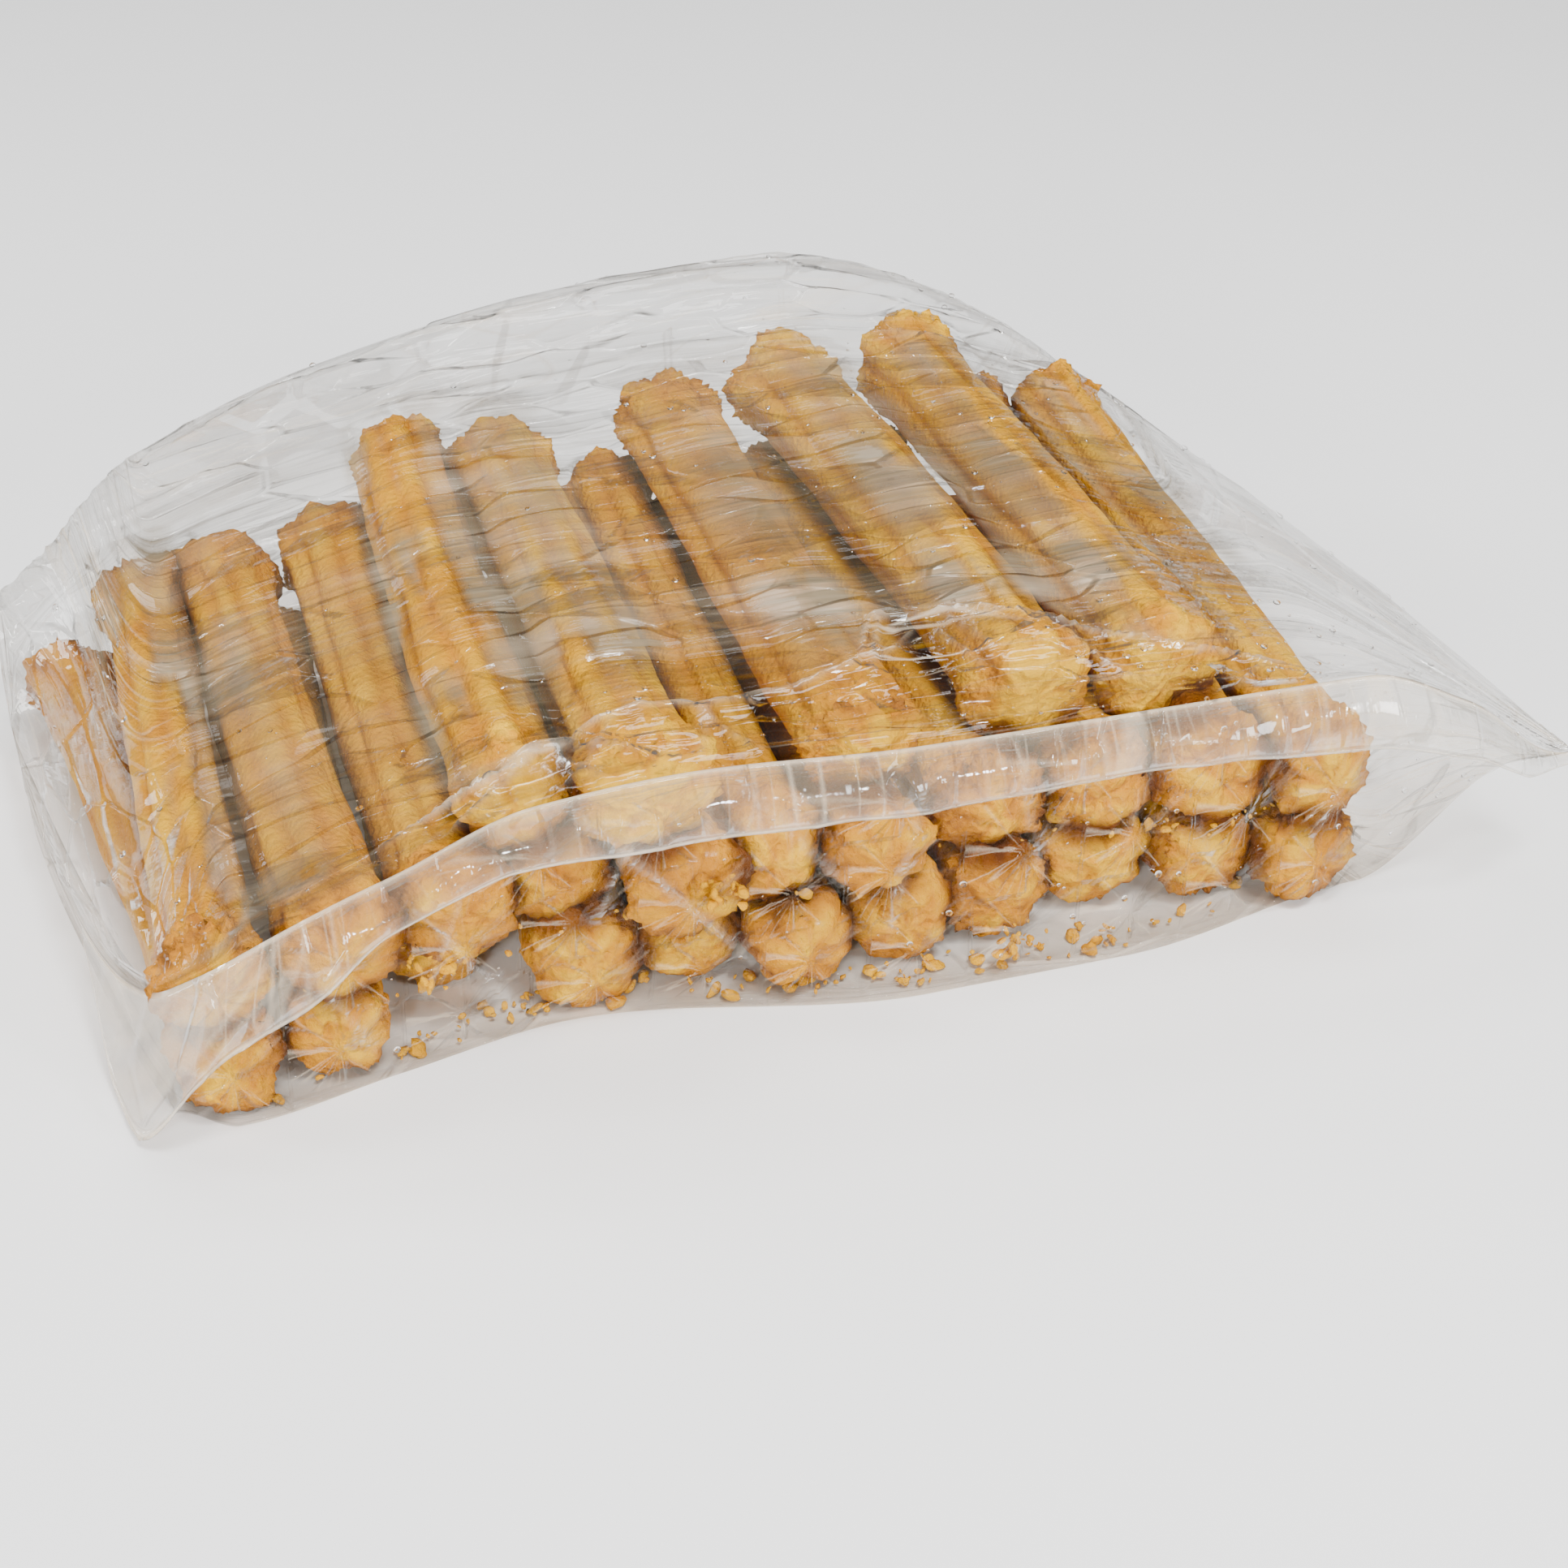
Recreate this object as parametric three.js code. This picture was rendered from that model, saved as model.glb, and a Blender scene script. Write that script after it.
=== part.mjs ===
// Sealed clear bag packed with fried churros, lying flat on its broad side.
// Millimetres, +Z up. The churros lie side by side along Y in three layers, and
// the film is a closed pouch drawn over them: a fin seal across the front, a
// pointed ear on the right, a hanging flap on the left and a puffed back.
import * as THREE from 'three';
import { mergeVertices } from 'three/addons/utils/BufferGeometryUtils.js';

// ---- churros -------------------------------------------------------------
const CHURRO_RADIUS = 12;
const CHURRO_LENGTH = 172;
const END_ROUNDING = 9; // length of the rounded lump at each end
const LAYER_RISE = 21; // each layer nests into the grooves of the one below
const FIRST_AXIS_HEIGHT = 12.6;

// Each layer: place of the first front end, then steps to the right, and for
// every churro where its front end lies, how far its back end swings to the
// right, how much its back end is lifted, and its radius against the normal one.
const LAYERS = [
  {
    firstX: -134,
    steps: [22, 26, 29, 23, 22.5, 23, 23, 26.5, 25, 22],
    frontY: [-103, -98, -75, -90, -88, -99, -95, -94, -88, -93, -100],
    swing: [-20, -9, 2, 0, 1, 0, -2, 0, 1, -1, 3],
    lift: [0, 1, 0, 0, 0, 0, 0, 0, 0, 0, 0],
    girth: [0.92, 0.92, 1, 1.02, 0.95, 0.95, 0.95, 0.96, 1.02, 1, 0.95],
  },
  {
    firstX: -135,
    steps: [26, 24, 23, 25, 21, 21, 30, 25, 27, 23],
    frontY: [-102, -99, -93, -86, -98, -92, -100, -90, -89, -93, -99],
    swing: [2, -5, 0, 0, 1, 3, 2, -2, 0, -3, -1],
    lift: [0, 0, 2, 0, 0, 6, 0, 2, 2, 17, 17],
    girth: [0.88, 1.02, 0.98, 0.96, 1.04, 0.92, 0.92, 1.04, 1, 1.04, 1.04],
  },
  {
    firstX: -69,
    steps: [25, 50, 41, 32],
    frontY: [-86, -97, -85, -78, -77],
    swing: [4, 2, 0, -7, -4],
    lift: [0, 0, 2, 4, 5],
    girth: [1.04, 1.06, 1.06, 1.1, 1.08],
  },
];

// ---- film pouch ----------------------------------------------------------
const FILM_CLEARANCE = 0.8; // film stands this far off the churros
const GROOVE_DEPTH = 19; // how far the top sheet sinks between two churros
const FACE_GROOVE_DEPTH = 26; // and the front face between their ends
const GROOVE_FADE = 16; // it sinks less than that within this much of the heap's edge
const GROOVE_ROUNDING = 1; // how softly it leaves the churros for a groove
const FIN_THICKNESS = 1.6;
const FIN_OUT = 6; // the fin seal leans forward by this much
const FIN_LIP = 0.6; // its front corner lies this much higher than its back one
const FIN_FULL_DROP = 8; // where it hangs less than this it is thinner and leans less
const SEAL_STANDS_OFF = 0.8; // the face stays this far behind the seal's root

// The pouch seen from above and from the front, from the left end to the tip of
// the right ear: [x, value] pairs, joined by smooth curves.
const LEFT_END = new THREE.Vector3(-169.5, 46, 14);
const EAR_TIP = new THREE.Vector3(169, -101, 32);
const FRONT_EDGE_Y = [
  [-169.5, 46], [-167, 5], [-160, -42], [-152, -80], [-144, -102], [-132, -110], [-100, -106],
  [105, -106], [140, -107], [169, -101],
];
const BACK_EDGE_Y = [
  [-169.5, 46], [-167, 74], [-160, 92], [-148, 106], [-127, 118], [-62, 126], [34, 128],
  [90, 121], [118, 104], [138, 74], [150, 42], [158, 5], [165, -48], [169, -101],
];
const FRONT_EDGE_Z = [
  [-169.5, 14], [-160, 16], [-152, 24], [-144, 36], [-132, 46], [-100, 56], [-70, 67],
  [-40, 69], [10, 66], [110, 65], [135, 55], [169, 32],
];
const BACK_EDGE_Z = [[-169.5, 14], [-150, 18], [-60, 22], [100, 24], [140, 31], [169, 32]];
const BASE_FRONT_Y = [[-146, -96], [-134, -104], [-100, -97], [-62, -90], [14, -104], [60, -104], [125, -93]];
const BASE_BACK_Y = [[-158, 66], [-130, 84], [-60, 98], [60, 104], [110, 92], [125, 70]];
const FIN_DROP = [
  [-160, 2], [-151, 23], [-143, 34], [-134, 25], [-120, 19], [-100, 9], [-80, 9.5], [-45, 13],
  [62, 11.5], [110, 15], [150, 8], [169, 2],
];
const BASE_LIFT_LEFT = [-160, -146]; // the underside leaves the floor outside these
const BASE_LIFT_RIGHT = [122, 160];
const END_BELLY = 6; // how far the underside sags below the ear, and rises at the left end
const BACK_TUCK = 1.4; // powers that round the back sheet from its edge to the foot
const BACK_BULGE = 0.8;
const LEAST_FACE_HEIGHT = 2; // no cross-section gets thinner than these
const LEAST_BACK_HEIGHT = 3;
const LEAST_BACK_DEPTH = 3;
const LEAST_BASE_DEPTH = 1.5;
const LEAST_FOOT_SETBACK = 2;
const LEAST_WALL = 4; // the front face stays this far under the top sheet
const DEEPEST_FACE = 40; // the front face has room to sink back by this much

// The heap of churros inside the pouch.
const HEAP_LEFT = -152;
const HEAP_RIGHT = 124;
const HEAP_FRONT = -104;

// Loose film stands up in a ridge behind the top layer.
const PUFF_PEAK = { x: 34, height: 84 };
const PUFF_FALL_LEFT = 0.0011; // drop for each square millimetre away from the peak
const PUFF_FALL_RIGHT = 0.0042;
const PUFF_LINE_Y = [[-169, 60], [-127, 100], [-60, 108], [34, 112], [100, 100], [150, 60]];
const PUFF_HALF_DEPTH = 5;

// ---- mesh fineness -------------------------------------------------------
const STATIONS = 96; // cross-sections from left to right
const TOP_STEPS = 34; // spans over the top of each cross-section
const FACE_STEPS = 16; // spans up the front face
const BACK_STEPS = 3; // spans down the back
const STATION_EASING = 0.04; // crowds the cross-sections towards both ends
const TOP_CROWDING = 1.08; // a power that crowds the top's spans towards the seal
const FACE_SPACING = [4, 8]; // how stiff the front face is along X and up
const RELAX_ROUNDS = 260;
const OVER_RELAXATION = 1.6;
const SOFTEN_TOP = { rounds: 2, across: 0.2, along: 0.1 }; // weights of a value's neighbours
const SOFTEN_FACE = { rounds: 2, across: 0.15, along: 0.15 };

/** Smooth value at x through a short list of [x, value] pairs. */
function along(pairs, x) {
  const last = pairs.length - 1;
  if (x <= pairs[0][0]) return pairs[0][1];
  if (x >= pairs[last][0]) return pairs[last][1];
  const i = pairs.findIndex((pair) => pair[0] > x) - 1;
  const [x0, v0] = pairs[i];
  const [x1, v1] = pairs[i + 1];
  const slope = (k) => {
    if (k === 0 || k === last) return 0;
    const before = (pairs[k][1] - pairs[k - 1][1]) / (pairs[k][0] - pairs[k - 1][0]);
    const after = (pairs[k + 1][1] - pairs[k][1]) / (pairs[k + 1][0] - pairs[k][0]);
    return before * after <= 0 ? 0 : (2 * before * after) / (before + after);
  };
  const s = (x - x0) / (x1 - x0);
  const width = x1 - x0;
  const rise = (1 + 2 * s) * (1 - s) ** 2 * v0 + s * s * (3 - 2 * s) * v1;
  return rise + width * (s * (1 - s) ** 2 * slope(i) - s * s * (1 - s) * slope(i + 1));
}

/** The churros as straight axes with a radius. */
function layChurros() {
  const churros = [];
  LAYERS.forEach((layer, level) => {
    let x = layer.firstX;
    layer.frontY.forEach((y, k) => {
      const height = FIRST_AXIS_HEIGHT + level * LAYER_RISE;
      churros.push({
        front: new THREE.Vector3(x, y, height),
        back: new THREE.Vector3(x + layer.swing[k], y + CHURRO_LENGTH, height + layer.lift[k]),
        radius: CHURRO_RADIUS * layer.girth[k],
      });
      x += layer.steps[k] ?? 0;
    });
  });
  return churros;
}

/** Height of the top of one churro above the floor at (x, y), or 0 beside it. */
function churroTop(churro, x, y) {
  const { front, back, radius } = churro;
  const t = (y - front.y) / (back.y - front.y);
  const clamped = THREE.MathUtils.clamp(t, 0, 1);
  const beyond = Math.max(front.y - y, y - back.y, -END_ROUNDING) / END_ROUNDING;
  const rounding = 1 - (beyond + 1) ** 2;
  if (rounding <= 0) return 0;
  const across = x - THREE.MathUtils.lerp(front.x, back.x, clamped);
  const left = radius * radius * Math.sqrt(rounding) - across * across;
  if (left <= 0) return 0;
  return THREE.MathUtils.lerp(front.z, back.z, clamped) + Math.sqrt(left);
}

/** How far forward (least y) a churro's front end reaches at (x, z), or null. */
function churroFace(churro, x, z) {
  const { front, radius } = churro;
  const share = ((x - front.x) ** 2 + (z - front.z) ** 2) / (radius * radius);
  if (share >= 1) return null;
  return front.y + END_ROUNDING * (1 - Math.sqrt(1 - share)) - FILM_CLEARANCE;
}

/** Height of the loose ridge of film behind the heap, or 0 away from it. */
function puffTop(x, y) {
  if (Math.abs(y - along(PUFF_LINE_Y, x)) > PUFF_HALF_DEPTH) return 0;
  const away = x - PUFF_PEAK.x;
  const fall = away < 0 ? PUFF_FALL_LEFT : PUFF_FALL_RIGHT;
  return PUFF_PEAK.height - fall * away * away;
}

/** Cross-section places, closer together towards both ends of the pouch. */
function stationPlaces() {
  const places = [];
  for (let i = 1; i < STATIONS; i += 1) {
    const u = i / STATIONS;
    const eased = u - STATION_EASING * Math.sin(2 * Math.PI * u);
    places.push(THREE.MathUtils.lerp(LEFT_END.x, EAR_TIP.x, eased));
  }
  return places;
}

/** Lets a sheet of film settle like a taut skin over what it must clear. */
function relax(grid, spacing, floorOf) {
  const rows = grid.length;
  const columns = grid[0].length;
  for (let round = 0; round < RELAX_ROUNDS; round += 1) {
    for (let i = 1; i < rows - 1; i += 1) {
      for (let j = 1; j < columns - 1; j += 1) {
        const [alongX, alongY] = spacing(i);
        const pullX = alongX * (grid[i - 1][j] + grid[i + 1][j]);
        const pullY = alongY * (grid[i][j - 1] + grid[i][j + 1]);
        const level = (pullX + pullY) / (2 * (alongX + alongY));
        const next = grid[i][j] + OVER_RELAXATION * (level - grid[i][j]);
        grid[i][j] = Math.max(next, floorOf[i][j]);
      }
    }
  }
}

/** How fully x lies inside the heap: 1 well within it, 0 outside. */
function insideHeap(x) {
  const fromLeft = THREE.MathUtils.smoothstep(x, HEAP_LEFT, HEAP_LEFT + GROOVE_FADE);
  const fromRight = 1 - THREE.MathUtils.smoothstep(x, HEAP_RIGHT - GROOVE_FADE, HEAP_RIGHT);
  return fromLeft * fromRight;
}

/** The same along the churros, from the front edge of the film to y = back. */
function insideDepth(y, back) {
  const fromFront = THREE.MathUtils.smoothstep(y, HEAP_FRONT, HEAP_FRONT + GROOVE_FADE);
  return fromFront * (1 - THREE.MathUtils.smoothstep(y, back - GROOVE_FADE, back));
}

/** Lets the settled film sink between the churros that hold it up. */
function sink(settled, support, depth) {
  const sunk = settled - depth;
  const slack = settled - Math.max(support, sunk);
  return settled - (slack * slack) / (slack + GROOVE_ROUNDING);
}

/** Rounds off a sheet's steps: every inner value moves towards its neighbours. */
function soften(grid, weights) {
  const kept = 1 - 2 * (weights.across + weights.along);
  for (let round = 0; round < weights.rounds; round += 1) {
    const before = grid.map((row) => [...row]);
    for (let i = 1; i < grid.length - 1; i += 1) {
      for (let j = 1; j < grid[0].length - 1; j += 1) {
        const across = before[i - 1][j] + before[i + 1][j];
        const lengthwise = before[i][j - 1] + before[i][j + 1];
        grid[i][j] = kept * before[i][j] + weights.across * across + weights.along * lengthwise;
      }
    }
  }
}

/** Heights of the top sheet: one row for each station, from front to back. */
function drapeTop(places, churros) {
  const ends = [LEFT_END, ...places.map(() => null), EAR_TIP];
  const xs = [LEFT_END.x, ...places, EAR_TIP.x];
  const yAt = (i, j) => {
    const v = (j / TOP_STEPS) ** TOP_CROWDING;
    return THREE.MathUtils.lerp(along(FRONT_EDGE_Y, xs[i]), along(BACK_EDGE_Y, xs[i]), v);
  };
  const supports = xs.map((x, i) =>
    Array.from({ length: TOP_STEPS + 1 }, (_, j) => {
      const y = yAt(i, j);
      const tops = churros.map((churro) => churroTop(churro, x, y));
      return Math.max(...tops.map((top) => (top > 0 ? top + FILM_CLEARANCE : 0)), puffTop(x, y));
    }),
  );
  const heights = xs.map((x, i) =>
    Array.from({ length: TOP_STEPS + 1 }, (_, j) => {
      if (ends[i]) return ends[i].z;
      const edge = THREE.MathUtils.lerp(along(FRONT_EDGE_Z, x), along(BACK_EDGE_Z, x), j / TOP_STEPS);
      return Math.max(edge, j === 0 || j === TOP_STEPS ? 0 : supports[i][j]);
    }),
  );
  const spacing = (i) => {
    const stepX = (xs[i + 1] - xs[i - 1]) / 2;
    const stepY = Math.max(0.5, (yAt(i, TOP_STEPS) - yAt(i, 0)) / TOP_STEPS);
    return [1 / (stepX * stepX), 1 / (stepY * stepY)];
  };
  relax(heights, spacing, supports);
  const sunk = xs.map((x, i) =>
    heights[i].map((height, j) => {
      const share = insideHeap(x) * insideDepth(yAt(i, j), along(PUFF_LINE_Y, x) - PUFF_HALF_DEPTH);
      const fixed = j === 0 || j === TOP_STEPS || ends[i];
      return fixed ? height : sink(height, supports[i][j], GROOVE_DEPTH * share);
    }),
  );
  soften(sunk, SOFTEN_TOP);
  return sunk.map((row, i) => row.map((z, j) => ({ y: yAt(i, j), z })));
}

/** How far the underside hangs above the floor at x: none under the heap. */
function baseLift(x) {
  const right = THREE.MathUtils.smoothstep(x, ...BASE_LIFT_RIGHT) * (EAR_TIP.z - END_BELLY);
  const left = (1 - THREE.MathUtils.smoothstep(x, ...BASE_LIFT_LEFT)) * END_BELLY;
  return Math.max(left, right);
}

/** How far back the front face may sink at height z and still lie under the top sheet. */
function deepest(topRow, z) {
  const low = topRow.find((point) => point.z < z + LEAST_WALL);
  return low ? low.y - LEAST_WALL : Infinity;
}

/** The front face from the floor up to the seal: one row for each station. */
function drapeFace(places, churros, top) {
  const xs = [LEFT_END.x, ...places, EAR_TIP.x];
  const heightAt = (i, k) => {
    const head = along(FRONT_EDGE_Z, xs[i]) - FIN_THICKNESS;
    const foot = Math.min(baseLift(xs[i]), head - LEAST_FACE_HEIGHT);
    return THREE.MathUtils.lerp(foot, head, k / FACE_STEPS);
  };
  const edgeY = (i) => along(FRONT_EDGE_Y, xs[i]);
  const footY = (i) => Math.max(along(BASE_FRONT_Y, xs[i]), edgeY(i) + LEAST_FOOT_SETBACK);
  const supports = xs.map((x, i) =>
    Array.from({ length: FACE_STEPS + 1 }, (_, k) => {
      const reaches = churros.map((churro) => churroFace(churro, x, heightAt(i, k)) ?? Infinity);
      return -Math.min(...reaches, edgeY(i) + DEEPEST_FACE);
    }),
  );
  const straight = (i, k) => THREE.MathUtils.lerp(footY(i), edgeY(i), k / FACE_STEPS);
  const forward = xs.map((x, i) => Array.from({ length: FACE_STEPS + 1 }, (_, k) => -straight(i, k)));
  const spacing = () => FACE_SPACING.map((step) => 1 / (step * step));
  relax(forward, spacing, supports);
  const settled = xs.map((x, i) =>
    forward[i].map((reach, k) => {
      if (k === 0 || k === FACE_STEPS) return reach;
      const sunk = sink(reach, supports[i][k], FACE_GROOVE_DEPTH * insideHeap(x));
      return Math.max(sunk, -deepest(top[i], heightAt(i, k)));
    }),
  );
  soften(settled, SOFTEN_FACE);
  return settled.map((row, i) =>
    row.map((reach, k) => {
      const behindSeal = k === FACE_STEPS ? 0 : SEAL_STANDS_OFF;
      return { y: Math.max(-reach, edgeY(i) + behindSeal), z: heightAt(i, k) };
    }),
  );
}

/** One closed cross-section, run round from the back foot under to the front. */
function section(x, topRow, faceRow) {
  const loop = [];
  const back = topRow[TOP_STEPS];
  const lift = Math.min(baseLift(x), back.z - LEAST_BACK_HEIGHT);
  const backFoot = Math.min(along(BASE_BACK_Y, x), back.y - LEAST_BACK_DEPTH);
  const frontFoot = faceRow[0].y;
  const rearFoot = Math.max(backFoot, frontFoot + LEAST_BASE_DEPTH);
  for (let k = 1; k <= BACK_STEPS; k += 1) {
    const s = k / BACK_STEPS;
    loop.push({
      y: THREE.MathUtils.lerp(back.y, rearFoot, s ** BACK_TUCK),
      z: THREE.MathUtils.lerp(back.z, lift, s ** BACK_BULGE),
    });
  }
  loop.push({ y: THREE.MathUtils.lerp(rearFoot, frontFoot, 0.5), z: lift });
  loop.push(...faceRow);
  const drop = along(FIN_DROP, x);
  const root = topRow[0];
  const fullness = Math.min(1, drop / FIN_FULL_DROP);
  const backCorner = root.y - FIN_OUT * fullness;
  loop.push({ y: backCorner, z: root.z - drop });
  loop.push({ y: backCorner - FIN_THICKNESS * fullness, z: root.z - drop + FIN_LIP });
  loop.push(...topRow);
  return loop;
}

/** Skins the cross-sections into one closed body, pointed at both ends. */
function skin(places, loops) {
  const positions = [];
  const corner = (x, point) => positions.push(x, point.y, point.z);
  const count = loops[0].length;
  for (let i = 0; i + 1 < loops.length; i += 1) {
    for (let k = 0; k < count; k += 1) {
      const n = (k + 1) % count;
      corner(places[i], loops[i][k]);
      corner(places[i + 1], loops[i + 1][n]);
      corner(places[i], loops[i][n]);
      corner(places[i], loops[i][k]);
      corner(places[i + 1], loops[i + 1][k]);
      corner(places[i + 1], loops[i + 1][n]);
    }
  }
  const last = loops.length - 1;
  for (let k = 0; k < count; k += 1) {
    const n = (k + 1) % count;
    corner(LEFT_END.x, LEFT_END);
    corner(places[0], loops[0][k]);
    corner(places[0], loops[0][n]);
    corner(EAR_TIP.x, EAR_TIP);
    corner(places[last], loops[last][n]);
    corner(places[last], loops[last][k]);
  }
  const geometry = new THREE.BufferGeometry();
  geometry.setAttribute('position', new THREE.Float32BufferAttribute(positions, 3));
  return mergeVertices(geometry, 1e-3);
}

/** Centres the pouch over the origin and stands it on the floor. */
function settle(geometry) {
  geometry.computeBoundingBox();
  const { min, max } = geometry.boundingBox;
  geometry.translate(-(min.x + max.x) / 2, -(min.y + max.y) / 2, -min.z);
  geometry.computeVertexNormals();
  return geometry;
}

function makeBag() {
  const churros = layChurros();
  const places = stationPlaces();
  const top = drapeTop(places, churros);
  const face = drapeFace(places, churros, top);
  const loops = places.map((x, i) => section(x, top[i + 1], face[i + 1]));
  const material = new THREE.MeshStandardMaterial({ color: 0xd9a35c, roughness: 0.45, metalness: 0 });
  const mesh = new THREE.Mesh(settle(skin(places, loops)), material);
  mesh.name = 'bag';
  return mesh;
}

const packet = new THREE.Group();
packet.add(makeBag());

export default packet;
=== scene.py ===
"""Clear sealed bag packed with fried churros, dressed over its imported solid.

Sizes are millimetres in the settings and tables below and are turned into metres where a
mesh is made. The churros lie along Y in layers, the film is one closed pouch drawn over
them, and a milky fin seal runs across the front.
"""

import itertools
import math

import bmesh
import bpy
import numpy as np
from mathutils import Matrix, Vector
from mathutils.bvhtree import BVHTree


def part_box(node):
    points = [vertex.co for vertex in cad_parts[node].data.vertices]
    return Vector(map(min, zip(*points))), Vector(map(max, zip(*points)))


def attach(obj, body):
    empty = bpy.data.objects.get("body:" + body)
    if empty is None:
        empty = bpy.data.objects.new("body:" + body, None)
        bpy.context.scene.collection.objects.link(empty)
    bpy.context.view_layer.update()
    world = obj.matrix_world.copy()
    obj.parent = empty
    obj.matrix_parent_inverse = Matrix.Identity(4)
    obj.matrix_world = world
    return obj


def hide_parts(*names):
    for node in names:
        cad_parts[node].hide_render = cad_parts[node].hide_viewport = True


bl_info = {
    "name": "Bag of Churros",
    "version": (1, 0, 0),
    "blender": (4, 5, 0),
    "location": "View3D > Sidebar > Churros",
    "description": "Builds a clear sealed bag of fried churros piece by piece",
    "category": "Add Mesh",
}

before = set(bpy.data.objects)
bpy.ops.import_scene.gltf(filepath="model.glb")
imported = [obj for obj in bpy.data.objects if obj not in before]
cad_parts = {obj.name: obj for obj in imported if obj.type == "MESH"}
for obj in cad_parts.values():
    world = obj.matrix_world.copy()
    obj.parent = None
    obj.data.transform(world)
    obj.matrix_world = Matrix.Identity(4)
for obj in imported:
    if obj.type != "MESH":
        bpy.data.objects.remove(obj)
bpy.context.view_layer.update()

MM = 0.001
NODE = "bag"
BODY = "root"

# ---- the heap of churros, as in the solid -----------------------------------
CHURRO_RADIUS = 12.0
CHURRO_LENGTH = 172.0
END_ROUNDING = 9.0
END_BLUNTNESS = 0.6  # power that squares off the rounded ends
LOWEST_CRUST = 0.4  # the bottom churros are pressed flat on the film here
LAYER_RISE = 21.0
FIRST_AXIS_HEIGHT = 12.6
FRONT_UNEVENNESS = (-1.8, 0.9)  # a layer's front ends lie this much off its height

# For each layer: place of the first front end, the steps to the right, and for every
# churro where its front end lies, how far its back end swings right and how much it is
# lifted, and its girth against the normal one.
LAYERS = (
    {
        "name": "bottom",
        "first_x": -134,
        "steps": (22, 26, 29, 23, 22.5, 23, 23, 26.5, 25, 22),
        "front_y": (-103, -98, -75, -90, -88, -99, -95, -94, -88, -93, -100),
        "swing": (-20, 7, 6, 0, 1, 0, -2, 0, 1, -1, 3),
        "lift": (0, 1, 0, 0, 0, 0, 0, 0, 0, 0, 0),
        "girth": (0.92, 0.92, 1, 1.02, 0.95, 0.95, 0.95, 0.96, 1.02, 1, 0.95),
    },
    {
        "name": "middle",
        "first_x": -135,
        "steps": (26, 24, 23, 25, 21, 21, 30, 25, 27, 23),
        "front_y": (-102, -99, -93, -86, -98, -92, -100, -90, -89, -93, -99),
        "swing": (2, -5, 0, 0, 1, 3, 2, -2, 0, -3, -1),
        "lift": (0, 0, 2, 0, 0, 6, 0, 2, 2, 17, 17),
        "girth": (0.88, 1.02, 0.98, 0.96, 1.04, 0.92, 0.92, 1.04, 1, 1.04, 1.04),
    },
    {
        "name": "top",
        "first_x": -69,
        "steps": (25, 50, 41, 32),
        "front_y": (-86, -97, -85, -78, -77),
        "swing": (4, 2, 0, -7, -4),
        "lift": (0, 0, 2, 4, 5),
        "girth": (1.04, 1.06, 1.06, 1.1, 1.08),
    },
)

# ---- the pouch, as in the solid: [x, value] pairs joined by smooth curves ----
LEFT_END = (-169.5, 46.0, 14.0)
EAR_TIP = (169.0, -101.0, 32.0)
FRONT_EDGE_Y = (
    (-169.5, 46), (-167, 5), (-160, -42), (-152, -80), (-144, -102), (-132, -110),
    (-100, -106), (105, -106), (140, -107), (169, -101),
)
BACK_EDGE_Y = (
    (-169.5, 46), (-167, 74), (-160, 92), (-148, 106), (-127, 118), (-62, 126), (34, 128),
    (90, 121), (118, 104), (138, 74), (150, 42), (158, 5), (165, -48), (169, -101),
)
FRONT_EDGE_Z = (
    (-169.5, 14), (-160, 16), (-152, 24), (-144, 36), (-132, 46), (-100, 56), (-70, 67),
    (-40, 69), (10, 66), (110, 65), (135, 55), (169, 32),
)
BACK_EDGE_Z = ((-169.5, 14), (-150, 18), (-60, 22), (100, 24), (140, 31), (169, 32))
BASE_FRONT_Y = ((-146, -96), (-134, -104), (-100, -97), (-62, -90), (14, -104), (60, -104), (125, -93))
BASE_BACK_Y = ((-158, 66), (-130, 84), (-60, 98), (60, 104), (110, 92), (125, 70))
FIN_DROP = (
    (-160, 2), (-151, 23), (-143, 34), (-134, 25), (-120, 19), (-100, 9), (-80, 9.5), (-45, 13),
    (62, 11.5), (110, 15), (150, 8), (169, 2),
)
BASE_LIFT_LEFT = (-160, -146)
BASE_LIFT_RIGHT = (122, 160)
FIN_OUT = 6.0
FILM_CLEARANCE = 0.8
HEAP_LEFT, HEAP_RIGHT, HEAP_FRONT = -152.0, 124.0, -104.0
GROOVE_FADE = 16.0
PUFF_PEAK = (34.0, 84.0)
PUFF_FALL_LEFT, PUFF_FALL_RIGHT = 0.0011, 0.0042
PUFF_LINE_Y = ((-169, 60), (-127, 100), (-60, 108), (34, 112), (100, 100), (150, 60))
PUFF_HALF_DEPTH = 5.0
END_BELLY = 6.0
BACK_TUCK, BACK_BULGE = 1.4, 0.8
LEAST_FACE_HEIGHT = 2.0
LEAST_BACK_HEIGHT = 3.0
TOP_CROWDING = 1.08
STATION_EASING = 0.04

# From the heap's own frame to the model's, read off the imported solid's box.
NODE_LOW, NODE_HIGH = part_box(NODE)
HEAP_AT = np.array((NODE_LOW.x / MM - LEFT_END[0], NODE_HIGH.y / MM - max(y for _, y in BACK_EDGE_Y), 0.0))

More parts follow.
